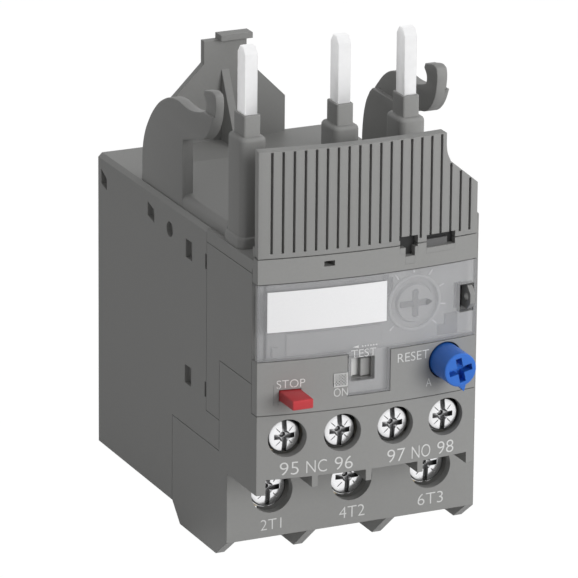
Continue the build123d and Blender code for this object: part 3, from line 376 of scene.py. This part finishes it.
def outline_plate(points, low, high, along="X", soft=0.15):
    """A plate with a drawn outline and softened edges, from low to high along X or Y.

    A point is (across, up, rounded); a rounded one lies on a curved stretch of the outline.
    """
    begin()
    bpy.ops.curve.primitive_bezier_circle_add()
    curve = bpy.context.object.data
    curve.splines.clear()
    curve.dimensions = "2D"
    curve.fill_mode = "BOTH"
    curve.resolution_u = 5
    curve.bevel_depth = soft * MM
    curve.bevel_resolution = 2
    curve.offset = -soft * MM
    curve.extrude = ((high - low) / 2 - soft) * MM
    spline = curve.splines.new("BEZIER")
    spline.bezier_points.add(len(points) - 1)
    for knot, (across, up, rounded) in zip(spline.bezier_points, points):
        knot.co = (across * MM, up * MM, 0)
        knot.handle_left_type = knot.handle_right_type = "AUTO" if rounded else "VECTOR"
    spline.use_cyclic_u = True
    bpy.ops.object.convert(target="MESH")
    plate = bpy.context.object
    middle = (low + high) / 2
    if along == "X":
        place, turn = at(middle, 0, 0), Matrix(((0, 0, 1), (1, 0, 0), (0, 1, 0)))
    else:
        place, turn = at(0, middle, 0), Matrix(((1, 0, 0), (0, 0, -1), (0, 1, 0)))
    plate.matrix_world = Matrix.Translation(place) @ turn.to_4x4()
    plate = settle()
    open_whole(plate)
    bpy.ops.mesh.remove_doubles(threshold=0.002 * MM)
    bpy.ops.mesh.normals_make_consistent(inside=False)
    leave_edit()
    return plate


def bowed_plate(x0, x1, z0, z1, thick, inset=0.0):
    """A plate that follows the bowed front, set back by inset."""
    begin()
    steps = max(2, int((x1 - x0) / 0.8))
    bpy.ops.mesh.primitive_grid_add(x_subdivisions=steps, y_subdivisions=1, size=1,
                                    rotation=(pi / 2, 0, 0))
    sheet = settle()
    sheet.scale = ((x1 - x0) * MM, 1.0, (z1 - z0) * MM)
    sheet.location = at((x0 + x1) / 2, 0, (z0 + z1) / 2)
    sheet = place_again(sheet)
    for point in sheet.data.vertices:
        point.co.y += (bow_y(point.co.x / MM) + inset) * MM
    apply_modifier(sheet, "SOLIDIFY", thickness=thick * MM, offset=-1.0)
    open_whole(sheet)
    bpy.ops.mesh.normals_make_consistent(inside=False)
    leave_edit()
    return sheet


def cut(piece, tool):
    """Takes the tool's shape out of the piece."""
    apply_modifier(piece, "BOOLEAN", operation="DIFFERENCE", solver="EXACT", object=tool)
    bpy.data.objects.remove(tool)
    return piece


def join(pieces):
    begin()
    for piece in pieces:
        piece.select_set(True)
    bpy.context.view_layer.objects.active = pieces[0]
    if len(pieces) > 1:
        bpy.ops.object.join()
    return bpy.context.object


def smooth(piece, angle=35):
    grab(piece)
    bpy.ops.object.shade_smooth_by_angle(angle=radians(angle))


def hand_over(piece, name, body, slot, material=None):
    """Names the finished piece, gives it its finish and fixes it to its body."""
    piece.name = name
    piece.data.name = name
    piece.data.materials.clear()
    piece.data.materials.append(material or finishes[slot])
    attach(piece, body)
    return piece


# Terminal screws

def thread(x, z, y0, y1, r, pitch):
    """The helical ridge of a screw, wound round Y by the Screw modifier."""
    begin()
    bpy.ops.mesh.primitive_circle_add(vertices=3, radius=0.34 * pitch * MM, fill_type="NOTHING",
                                      location=((r - 0.17 * pitch) * MM, 0, 0), rotation=(pi / 2, 0, 0))
    ridge = settle()
    turns = int((y1 - y0 - pitch) / pitch)
    apply_modifier(ridge, "SCREW", axis="Z", screw_offset=pitch * MM, iterations=turns,
                   steps=20, render_steps=20, use_merge_vertices=False)
    open_whole(ridge)
    bpy.ops.mesh.fill_holes(sides=4)
    bpy.ops.mesh.normals_make_consistent(inside=False)
    leave_edit()
    ridge.rotation_euler = (-pi / 2, 0, 0)
    ridge.location = at(x, y0 + 0.5 * pitch, z)
    return settle()


def terminal_screw(body, x, z, face, head_r, head_t, shaft_r, shaft_end, pitch):
    """A pan head with a long slot, a cross recess and four witness lines, on a threaded shaft."""
    slot_half, slot_depth, clear = 0.42, 1.05, 1.0
    line_half, line_depth, core = 0.05, 0.22, 0.17
    whole_face = 3e-6
    head = round_piece(x, z, face, face + head_t, head_r)
    front = at(x, face, z).y
    for inward, rise in ((0.55, 0.0), (0.8, 0.16), (0.7, 0.09)):
        pick(head, lambda f: f.normal.y < -0.99 and f.center.y < front + 0.2 * MM and f.area > whole_face)
        bpy.ops.mesh.inset(thickness=inward * MM)
        bpy.ops.transform.translate(value=(0, -rise * MM, 0))
        leave_edit()
    open_whole(head)
    bpy.ops.transform.translate(value=(0, 0.25 * MM, 0))
    leave_edit()
    round_edges(head, 0.42, 5, 50)
    bottom = face + slot_depth
    cross = 0.62 * head_r
    cut(head, box_piece(x - slot_half, x + slot_half, face - clear, bottom,
                        z - head_r - clear, z + head_r + clear))
    cut(head, box_piece(x - cross, x + cross, face - clear, bottom - 0.1, z - slot_half, z + slot_half))
    begin()
    bpy.ops.mesh.primitive_cone_add(vertices=24, radius1=0.3 * MM, radius2=1.25 * MM, depth=1.9 * MM,
                                    location=at(x, face + 0.45, z), rotation=(pi / 2, 0, 0))
    cut(head, settle())
    for quarter in range(4):
        turn = pi / 4 + quarter * pi / 2
        line_x, line_z = x + 0.56 * head_r * cos(turn), z + 0.56 * head_r * sin(turn)
        cut(head, box_piece(line_x - 0.5, line_x + 0.5, face - clear, face + line_depth,
                            line_z - line_half, line_z + line_half, (0, -turn, 0)))
    shaft = round_piece(x, z, face + head_t - 0.3, shaft_end, shaft_r - core, 32)
    ridge = thread(x, z, face + head_t + 0.1, shaft_end, shaft_r, pitch)
    screw = join([head, shaft, ridge])
    smooth(screw)
    hand_over(screw, "screw_" + body.replace("_screw", ""), body, "screw")
    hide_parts(body)


AUX_SCREW = {"head_r": 2.9, "head_t": 2.0, "shaft_r": 1.25, "shaft_end": -1.0, "pitch": 0.5}
MAIN_SCREW = {"head_r": 3.4, "head_t": 1.8, "shaft_r": 1.75, "shaft_end": 11.4, "pitch": 0.7}
for number, x in enumerate(AUX_X, 1):
    terminal_screw(f"aux_screw_{number}", x, 21.7, bow_y(x) + 1.0, **AUX_SCREW)
for number, x in enumerate(POLES, 1):
    terminal_screw(f"main_screw_{number}", x, 7.9, 1.6, **MAIN_SCREW)


# Reset knob

def reset_knob():
    """The blue knob with its cross slot and the nib that points at the chosen setting."""
    front = bow_y(KNOB_X) - 5.6
    lean = radians(12)
    slot_half, slot_w, slot_depth = 2.05, 0.52, 1.7
    nib_reach = 3.0
    knob = round_piece(KNOB_X, KNOB_Z, front, front + 6.8, 2.85, 96)
    round_edges(knob, 0.28, 4, 50)
    for turn in (lean, lean + pi / 2):
        cut(knob, box_piece(KNOB_X - slot_half, KNOB_X + slot_half, front - 1, front + slot_depth,
                            KNOB_Z - slot_w, KNOB_Z + slot_w, (0, -turn, 0)))
    cut(knob, round_piece(KNOB_X, KNOB_Z, front + 2.6, front + 8, 1.26, 48))
    begin()
    bpy.ops.mesh.primitive_cylinder_add(vertices=3, radius=0.95 * MM, depth=1.5 * MM,
                                        rotation=(pi / 2, 0, 0))
    nib = settle()
    foot = -pi / 2 + lean
    nib.rotation_euler = (0, -(foot - pi / 2), 0)
    nib.location = at(KNOB_X + nib_reach * cos(foot), front + 1.05, KNOB_Z + nib_reach * sin(foot))
    knob = join([knob, round_edges(place_again(nib), 0.12)])
    smooth(knob)
    hand_over(knob, "knob_with_nib", "reset_knob", "blue")
    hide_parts("reset_knob")


reset_knob()


# Behind the window

def scale_ring():
    """The raised ring on the recess floor round the setting dial."""
    floor = bow_y(DIAL_X) + 2.2
    ring = round_piece(DIAL_X, DIAL_Z, floor - 0.45, floor + 0.6, 4.75, 96)
    cut(ring, round_piece(DIAL_X, DIAL_Z, floor - 2, floor + 3, 4.25, 96))
    round_edges(ring, 0.12, 3, 50)
    smooth(ring)
    hand_over(ring, "scale_ring", "housing", "panel", ring_grey)


def scale_marks():
    """Nine white marks over three quarters of a turn round the ring."""
    count, reach = 9, 5.55
    marks = []
    for step in range(count):
        turn = radians(-45 + step * 270 / (count - 1))
        x = DIAL_X + reach * cos(turn)
        z = DIAL_Z + reach * sin(turn)
        y = bow_y(x) + 2.17
        marks.append(box_piece(x - 0.5, x + 0.5, y - 0.06, y + 0.03, z - 0.1, z + 0.1, (0, -turn, 0)))
    hand_over(join(marks), "scale_marks", "housing", "light", ink)


def dial_side_slot_shade():
    """The slot beside the dial; its dark finish is painted shadow for the shade inside it."""
    floor = bow_y(0.8) + 2.1
    slot = box_piece(0.1, 1.4, floor, floor + 0.4, 43.0, 46.3)
    pick(slot, lambda f: f.normal.y < -0.9)
    bpy.ops.mesh.inset(thickness=0.15 * MM)
    bpy.ops.transform.translate(value=(0, 0.08 * MM, 0))
    leave_edit()
    # Its dark finish is painted shadow.
    hand_over(slot, "dial_side_slot_shade", "housing", "panel", shadow_grey)


def stepped_shade_patch():
    """A dark stepped plate in the lower right of the recess, painted shadow for an opening there."""
    y = bow_y(11.5) + 1.9
    low = box_piece(9.7, 13.3, y, y + 0.5, 35.1, 36.9)
    high = box_piece(11.0, 13.3, y, y + 0.5, 36.8, 38.6)
    pad = round_edges(join([low, high]), 0.08, 2, 50)
    # Its dark finish is painted shadow.
    hand_over(pad, "stepped_shade_patch", "housing", "panel", shadow_grey)


def seal_slot_shades():
    """Dark plates beside the sealing eyelet and at the label's corner, painted shadow for the slots
    there.
    """
    slots = [bowed_plate(x0, x1, z0, z1, 0.3, 1.98)
             for x0, x1, z0, z1 in ((12.75, 14.1, 39.3, 43.6), (-0.4, 0.6, 43.5, 46.8))]
    # Their dark finish is painted shadow.
    hand_over(round_edges(join(slots), 0.08), "seal_slot_shades", "housing", "panel", shadow_grey)


def inner_steps():
    """The shallow step below the label, the strip at the hinge and the block beside it."""
    low = 35.0
    steps = [round_edges(bowed_plate(x0, x1, low, top, thick, inset), 0.1)
             for x0, x1, top, thick, inset in ((-17.0, -0.6, 38.7, 0.5, 1.8),
                                               (-20.2, -19.7, 47.8, 0.6, 1.7),
                                               (-19.4, -18.4, 36.6, 0.7, 1.6))]
    hand_over(join(steps), "recess_steps", "housing", "panel")


def dial_cross():
    """The raised cross of the setting dial; its longer arm points at the scale."""
    half, front, back = 0.5, -12.3, -11.6
    upright = box_piece(DIAL_X - half, DIAL_X + half, front, back, DIAL_Z - 2.15, DIAL_Z + 2.15)
    across = box_piece(DIAL_X - 2.75, DIAL_X + 2.2, front + 0.02, back, DIAL_Z - half, DIAL_Z + half)
    begin()
    bpy.ops.mesh.primitive_cylinder_add(vertices=3, radius=0.75 * MM, depth=(back - front) * MM,
                                        rotation=(pi / 2, 0, 0))
    tip = settle()
    tip.rotation_euler = (0, pi / 2, 0)
    tip.location = at(DIAL_X + 2.3, (front + back) / 2, DIAL_Z)
    cross = join([round_edges(upright, 0.12), round_edges(across, 0.12),
                  round_edges(place_again(tip), 0.1)])
    hand_over(cross, "dial_cross", "setting_dial", "dial", cross_grey)


def test_tongue():
    """The grey tongue of the test slider, seen in the slot beside its pale block."""
    plate = round_edges(box_piece(-4.4, -1.45, -11.9, -9.9, 30.35, 33.35), 0.1)
    hand_over(plate, "test_tongue", "test_slider", "panel", ring_grey)


scale_ring()
scale_marks()
dial_side_slot_shade()
stepped_shade_patch()
seal_slot_shades()
inner_steps()
dial_cross()
test_tongue()


# Stop button

def stop_button():
    """The red button with its lip and stem behind the panel, and the strips round its opening."""
    front, behind = bow_y(STOP_X) - 5.0, -9.6
    cap = box_piece(-18.87, -15.2, front, behind - 0.25, 28.15, 29.95)
    near, middle = at(0, front + 0.1, 0).y, at(0, 0, 29).z
    pick_points(cap, lambda co: co.y < near and co.z > middle)
    bpy.ops.transform.translate(value=(0, 0, -0.15 * MM))
    leave_edit()
    round_edges(cap, 0.25, 4)
    lip = round_edges(box_piece(-19.85, -14.95, behind - 0.7, behind, 27.45, 30.95), 0.1)
    stem = round_piece(STOP_X, STOP_Z, behind - 0.2, -5.3, 0.8, 32)
    button = join([cap, lip, stem])
    smooth(button)
    hand_over(button, "stop_key", "stop_button", "red")
    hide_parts("stop_button")
    strips = [bowed_plate(x0, x1, z0, z1, 1.0, -0.03)
              for x0, x1, z0, z1 in ((-19.8, -14.9, 30.02, 30.9), (-19.8, -18.92, 27.5, 30.02),
                                     (-19.8, -14.9, 27.45, 28.12))]
    hand_over(join(strips), "stop_opening", "housing", "panel")


stop_button()


# Latch cover with its hooks

# The outlines seen from the side, as outline_plate() takes them: from the foot at the back over the
# top to the foot in front.
HOOK = ((36.7, 51.62, 0), (36.6, 57.0, 1), (36.0, 59.4, 1), (34.6, 62.0, 1), (31.1, 65.9, 1),
        (28.0, 67.9, 1), (24.9, 69.0, 1), (22.0, 69.3, 0), (17.6, 69.0, 1), (14.4, 69.5, 1),
        (12.0, 70.3, 0), (11.9, 71.6, 1), (12.9, 72.8, 0), (12.5, 73.6, 0), (8.5, 73.9, 1),
        (8.1, 73.3, 1), (8.2, 70.6, 1), (8.6, 69.2, 1), (9.4, 67.8, 1), (10.7, 66.4, 1),
        (12.3, 65.4, 1), (14.0, 65.0, 0), (20.1, 63.1, 0), (20.2, 51.62, 0))
BRACE = ((34.4, 51.62, 0), (34.2, 57.2, 1), (33.1, 61.4, 1), (31.6, 63.7, 0), (30.6, 64.5, 0),
         (22.0, 64.4, 0), (20.6, 62.9, 0), (20.6, 51.62, 0))


def barbless(hook):
    """The hook's outline with a flat top edge in place of its barb."""
    return hook[:10] + ((12.0, 70.15, 0), (8.15, 70.15, 0)) + hook[17:]


def latch_cover():
    """The raised plate with both hooks, and the brace inside the right one.

    Each hook is a barbed core and a thinner plate on its outer side, which has no barb.
    The right hook's back stands a little further forward.
    """
    plate = box_piece(-21.6, 20.2, 2.6, 36.8, 51.6, 53.8)
    middle = at(0, 0, 53.0).z
    pick_points(plate, lambda co: co.z > middle)
    bpy.ops.mesh.bevel(offset=1.3 * MM, segments=6, affect="EDGES")
    leave_edit()
    bent = tuple((y - 1.3 * min(1, max(0, (y - 24) / 7)), z, rounded) for y, z, rounded in HOOK)
    cover = join([plate, outline_plate(HOOK, -21.2, -19.7), outline_plate(barbless(HOOK), -21.64, -21.0),
                  outline_plate(bent, 18.4, 20.3), outline_plate(barbless(bent), 20.1, 20.8),
                  outline_plate(BRACE, 17.6, 18.6)])
    smooth(cover, 30)
    hand_over(cover, "latch_with_hooks", "housing", "housing")
    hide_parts("latch_cover")


latch_cover()


# Ribbed cover

COVER_LEFT, COVER_RIGHT = -22.5, 15.8
GROOVES = 20
FIRST_GROOVE, GROOVE_SPAN = -20.3, 34.6
GROOVE_HALF, GROOVE_D = 0.21, 0.7


def ribbed_cover():
    """The grooved cover in front of the pins, with its right corner cut away, and its foot."""
    top, seam, foot_z = 70.0, 52.24, 51.62
    slope, slope_x, slope_z = 0.818, 10.3, 65.2
    cover = bowed_plate(COVER_LEFT, COVER_RIGHT, seam, top, 2.2)
    corner = ((9.75, 71.5, 0), (9.75, 68.0, 0), (9.95, 66.6, 1), (10.6, 65.1, 0), (COVER_RIGHT, 60.8, 0),
              (COVER_RIGHT + 2, 60.7, 0), (COVER_RIGHT + 2, 71.5, 0))
    cut(cover, outline_plate(corner, -16, -4, "Y", 0.001))
    round_edges(cover, 0.2, 3, 50)
    for x0, x1, z1 in ((1.5, 4.7, 53.6), (6.3, 11.6, 53.3)):
        cut(cover, box_piece(x0, x1, -15, -5, 51, z1))
    grooves = []
    for number in range(GROOVES):
        x = FIRST_GROOVE + number * GROOVE_SPAN / (GROOVES - 1)
        end = top - 0.15 if x < 9.4 else slope_z - (x - slope_x) * slope - 0.15
        grooves.append(box_piece(x - GROOVE_HALF, x + GROOVE_HALF, bow_y(x) - 1, bow_y(x) + GROOVE_D,
                                 53.0, end))
    cut(cover, join(grooves))
    foot = bowed_plate(COVER_LEFT + 0.4, COVER_RIGHT - 0.2, foot_z, 53.4, 1.5, 2.0)
    cover = join([cover, foot])
    smooth(cover, 25)
    hand_over(cover, "grooved_cover", "housing", "housing")
    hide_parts("ribbed_cover")


def strip_details():
    """The moulding round the catches in the strip, a darker step in the right catch and dark plates
    behind them: the step and plates are painted shade in the openings.
    """
    fillers = [bowed_plate(x0, x1, z0, z1, 1.6)
               for x0, x1, z0, z1 in ((2.5, 4.2, 48.9, 50.2), (1.5, 2.5, 50.6, 51.7),
                                      (4.2, 4.7, 50.6, 51.7), (6.3, 11.6, 50.2, 51.15))]
    hand_over(join(fillers), "catch_surround", "housing", "panel")
    # Its darker finish is painted shade on the recessed step.
    tongue = bowed_plate(6.3, 10.4, 51.1, 52.35, 0.6, 0.6)
    hand_over(tongue, "catch_tongue", "housing", "panel", step_shade_grey)
    # Painted shadow: dark plates behind the catch openings stand for the shade in their depth.
    depth = [bowed_plate(x0, x1, z0, z1, 0.3, 1.25)
             for x0, x1, z0, z1 in ((1.4, 4.8, 50.1, 53.8), (10.4, 11.7, 51.0, 53.5),
                                    (6.2, 10.5, 52.3, 53.5))]
    hand_over(join(depth), "catch_depth_shade", "housing", "panel", shadow_grey)


ribbed_cover()
strip_details()


# Connection pins and their shroud

PIN_X = (-19.65, -3.3, 8.45)
PIN_Y = -0.8
PIN_HALF_W, PIN_HALF_D = 1.1, 1.55
BAR_HALF, BAR_Z, BAR_T = 0.8, 45.6, 2.0


def connection_pin(number, x, pole):
    """A tinned pin with a bevelled tip, and the bar inside that leads to its pole."""
    shoulder, turn_y, back_y = 83.35, 12.0, 30.4
    pin = box_piece(x - PIN_HALF_W, x + PIN_HALF_W, PIN_Y - PIN_HALF_D, PIN_Y + PIN_HALF_D,
                    BAR_Z, shoulder)
    end = at(0, 0, shoulder - 0.05).z
    pick(pin, lambda f: f.normal.z > 0.9 and f.center.z > end)
    bpy.ops.mesh.extrude_region_move(TRANSFORM_OT_translate={"value": (0, 0, 1.2 * MM)})
    bpy.ops.transform.resize(value=(0.97, 0.42, 1.0))
    leave_edit()
    parts = [round_edges(pin, 0.13, 3, 30)]
    low_x, high_x = sorted((x, pole))
    for x0, x1, y0, y1 in ((x - BAR_HALF, x + BAR_HALF, PIN_Y, turn_y + BAR_HALF),
                           (low_x - BAR_HALF, high_x + BAR_HALF, turn_y - BAR_HALF, turn_y + BAR_HALF),
                           (pole - BAR_HALF, pole + BAR_HALF, turn_y, back_y),
                           (pole - 2 * BAR_HALF, pole, back_y - 3, back_y)):
        parts.append(round_edges(box_piece(x0, x1, y0, y1, BAR_Z, BAR_Z + BAR_T), 0.1))
    pin = join(parts)
    smooth(pin)
    hand_over(pin, f"pin_{number}_with_bar", "housing", "pin")
    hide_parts(f"phase_conductor_{number}")


def stands_upright(piece, edge):
    first, second = (piece.data.vertices[k].co for k in edge.vertices)
    return abs(first.z - second.z) > MM


def pin_shroud():
    """Rounded columns with feet and collars on a low base, one round each pin."""
    base_z, gap = 51.6, 0.02
    foot = (5.3, 6.6, 53.5, 1.3, 0.5)
    column = (4.6, 6.0, 69.9, 1.15, 0.7)
    collar = (2.95, 4.1, 73.4, 0.4, 0.15)
    parts = [round_edges(box_piece(-22.2, 11.0, -3.4, 2.3, base_z, 52.9), 0.35)]
    for x in PIN_X:
        for width, depth, top, corner, rim in (foot, column, collar):
            post = box_piece(x - width / 2, x + width / 2, PIN_Y - depth / 2, PIN_Y + depth / 2,
                             base_z, top)
            pick_edges(post, lambda edge: stands_upright(post, edge))
            bpy.ops.mesh.bevel(offset=corner * MM, segments=6, affect="EDGES")
            leave_edit()
            pick(post, lambda f: f.normal.z > 0.9)
            bpy.ops.mesh.bevel(offset=rim * MM, segments=4, affect="EDGES")
            leave_edit()
            cut(post, box_piece(x - PIN_HALF_W - gap, x + PIN_HALF_W + gap,
                                PIN_Y - PIN_HALF_D - gap, PIN_Y + PIN_HALF_D + gap, 50, 80))
            parts.append(post)
    shroud = join(parts)
    smooth(shroud)
    hand_over(shroud, "pin_columns", "housing", "housing")
    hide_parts("pin_shroud")


for number, (x, pole) in enumerate(zip(PIN_X, POLES), 1):
    connection_pin(number, x, pole)
pin_shroud()


# Printing on the front

def follow_front(piece, bowed=True):
    """Lays flat printing, drawn at y = 0, on the bowed front or on the lower row."""
    grab(piece)
    for vertex in piece.data.vertices:
        x = vertex.co.x / MM
        front = bow_y(x) if bowed else 0.0
        vertex.co.y += (front - PRINT_LIFT) * MM
    return piece


def printed(name, words, x0, x1, z0, z1, bowed=True, body="housing"):
    """Lettering that fills the given width and height on the front."""
    begin()
    bpy.ops.object.text_add(rotation=(pi / 2, 0, 0))
    text = bpy.context.object
    text.data.body = words
    text.data.offset = -0.012
    text.data.extrude = 0.5
    text.data.resolution_u = 5
    bpy.ops.object.convert(target="MESH")
    text = settle()
    low = [min(v.co[k] for v in text.data.vertices) for k in range(3)]
    high = [max(v.co[k] for v in text.data.vertices) for k in range(3)]
    text.scale = ((x1 - x0) * MM / (high[0] - low[0]), PRINT_T * MM / (high[1] - low[1]),
                  (z1 - z0) * MM / (high[2] - low[2]))
    text.location = at(x0, 0, z0) - Vector([low[k] * text.scale[k] for k in (0, 1, 2)])
    text = settle()
    return hand_over(follow_front(text, bowed), name, body, "light", ink)


for name, words, x0, x1, z0, z1 in (
        ("mark_95", "95", -18.67, -15.54, 15.4, 17.6),
        ("mark_NC", "NC", -14.26, -10.77, 15.4, 17.5),
        ("mark_96", "96", -9.44, -6.33, 15.4, 17.6),
        ("mark_97", "97", -0.23, 3.0, 15.4, 17.6),
        ("mark_NO", "NO", 4.22, 7.66, 15.4, 17.55),
        ("mark_98", "98", 8.97, 12.04, 15.4, 17.55),
        ("mark_STOP", "STOP", -19.3, -14.6, 30.3, 31.65),
        ("mark_ON", "ON", -9.74, -7.34, 27.96, 29.36),
        ("mark_RESET", "RESET", 1.4, 7.1, 32.35, 33.85),
        ("mark_A", "A", 6.65, 7.65, 27.5, 28.85)):
    printed(name, words, x0, x1, z0, z1)
printed("mark_TEST", "TEST", -6.82, -2.5, 34.25, 35.55, body="window")
printed("mark_2T1", "2T1", -16.4, -12.65, 1.25, 3.1, bowed=False)
printed("mark_4T2", "4T2", -2.2, 2.45, 1.2, 3.2, bowed=False)
printed("mark_6T3", "6T3", 12.2, 16.85, 1.35, 3.35, bowed=False)


def test_arrow():
    """The left-pointing arrow with a dotted tail above the test slot."""
    begin()
    bpy.ops.mesh.primitive_cylinder_add(vertices=3, radius=0.42 * MM, depth=PRINT_T * MM,
                                        rotation=(pi / 2, 0, 0))
    head = settle()
    head.rotation_euler = (0, -pi / 2, 0)
    head.scale = (0.6, 1.0, 1.6)
    head.location = at(-5.9, 0, 36.05)
    pieces = [place_again(head)]
    for step in range(6):
        x = -5.0 + step * 0.48
        pieces.append(box_piece(x, x + 0.26, -PRINT_T / 2, PRINT_T / 2, 35.97, 36.15))
    hand_over(follow_front(join(pieces)), "mark_arrow", "window", "light", ink)


def flag_patch():
    """The hatched square above ON: a crossed grid cut to the square, in a thin frame."""
    wire, half = 0.13, 1.15
    begin()
    bpy.ops.mesh.primitive_grid_add(x_subdivisions=11, y_subdivisions=11, size=4.0 * MM,
                                    rotation=(pi / 2, 0, 0))
    hatch = settle()
    hatch.rotation_euler = (0, pi / 4, 0)
    hatch = place_again(hatch)
    apply_modifier(hatch, "WIREFRAME", thickness=wire * MM, use_even_offset=True, use_replace=True)
    open_whole(hatch)
    for side in ((1, 0, 0), (-1, 0, 0), (0, 0, 1), (0, 0, -1)):
        bpy.ops.mesh.select_all(action="SELECT")
        bpy.ops.mesh.bisect(plane_co=(side[0] * half * MM, 0, side[2] * half * MM), plane_no=side,
                            clear_outer=True, use_fill=True)
    leave_edit()
    hatch.scale = (1.0, PRINT_T / wire, 1.0)
    hatch.location = at(-8.55, 0, 30.72)
    rims = [place_again(hatch)]
    for x0, x1, z0, z1 in ((-9.74, -7.36, 31.72, 31.84), (-9.74, -7.36, 29.6, 29.72),
                           (-9.74, -9.62, 29.6, 31.84), (-7.48, -7.36, 29.6, 31.84)):
        rims.append(box_piece(x0, x1, -PRINT_T / 2, PRINT_T / 2, z0, z1))
    hand_over(follow_front(join(rims)), "mark_flag_patch", "housing", "light", ink)


test_arrow()
flag_patch()


# Floor, light and camera

SEEING_RAYS = ("Is Camera Ray", "Is Glossy Ray", "Is Transmission Ray")


def bright_floor():
    """A pale floor that the camera and glass see as white; gloss sees it darker behind the relay."""
    f = Finish("studio_floor")
    rays = [f.node("LightPath", None, None, name) for name in SEEING_RAYS]
    behind = f.node("SeparateXYZ", None, {0: f.place()}, 1).above(0.0)
    seen = rays[0].highest(rays[1] * (1.0 - behind * 0.5)).highest(rays[2])
    grain = f.noise(40.0, 2.0)
    tone = f.blend(grain, (0.50, 0.50, 0.50), (0.54, 0.54, 0.54))
    matt = f.node("BsdfDiffuse", None, {"Color": tone})
    glow = f.node("Emission", None, {"Color": (1.0, 1.0, 1.0), "Strength": 1.02})
    f.node_output(f.node("MixShader", None, {0: seen * 0.985, 1: matt, 2: glow}))
    begin()
    bpy.ops.mesh.primitive_plane_add(size=6.0, location=(0, 0, 0))
    floor = bpy.context.object
    floor.name = "studio_floor"
    floor.data.materials.append(f.material)


def studio_world():
    """Soft grey light all round; camera, gloss and glass see white."""
    world = bpy.data.worlds.new("studio")
    bpy.context.scene.world = world
    world.use_nodes = True
    tree = world.node_tree
    tree.nodes.clear()
    path = tree.nodes.new("ShaderNodeLightPath")
    rays = [Value(tree, path.outputs[name]) for name in SEEING_RAYS]
    seen = rays[0].highest(rays[1]).highest(rays[2])
    lit = seen * 0.71 + 0.29
    background = tree.nodes.new("ShaderNodeBackground")
    background.inputs["Color"].default_value = (1.0, 1.0, 1.0, 1.0)
    tree.links.new(lit.socket, background.inputs["Strength"])
    output = tree.nodes.new("ShaderNodeOutputWorld")
    tree.links.new(background.outputs[0], output.inputs["Surface"])


def lamp(name, place, power):
    """A square lamp that shines on the relay's middle and isn't seen itself."""
    middle = Vector((0, 0, 0.04))
    begin()
    bpy.ops.object.light_add(type="AREA", location=place)
    light = bpy.context.object
    light.name = name
    light.data.size = 0.8
    light.data.energy = power
    light.rotation_euler = (middle - Vector(place)).to_track_quat("-Z", "Y").to_euler()
    light.visible_camera = False
    light.visible_glossy = False


def studio_camera():
    """The photograph's viewpoint: its angles, and its place as seen from a point inside the relay."""
    turn, tilt, roll = radians(-25.009), radians(18.616), radians(0.542)
    inside = at(0, 25, 0)
    to_right, to_top, away = 0.3, 31.385, 954.438
    back = Vector((sin(turn) * cos(tilt), -cos(turn) * cos(tilt), sin(tilt)))
    right = Vector((cos(turn), sin(turn), 0))
    up = back.cross(right)
    across = right * cos(roll) + up * sin(roll)
    upward = up * cos(roll) - right * sin(roll)
    place = inside + (across * to_right + upward * to_top + back * away) * MM
    camera = bpy.data.cameras.new("camera")
    camera.sensor_width = 36.0
    camera.lens = 352.4
    camera.clip_start = 0.01
    camera.clip_end = 20.0
    view = bpy.data.objects.new("camera", camera)
    view.matrix_world = Matrix((across, upward, back)).transposed().to_4x4()
    view.location = place
    bpy.context.scene.collection.objects.link(view)
    bpy.context.scene.camera = view


bright_floor()
studio_world()
lamp("key_lamp", (0.50, -1.15, 0.34), 14.0)
lamp("top_lamp", (0.1, -0.2, 1.3), 2.8)
studio_camera()
bpy.context.scene.view_settings.view_transform = "Standard"
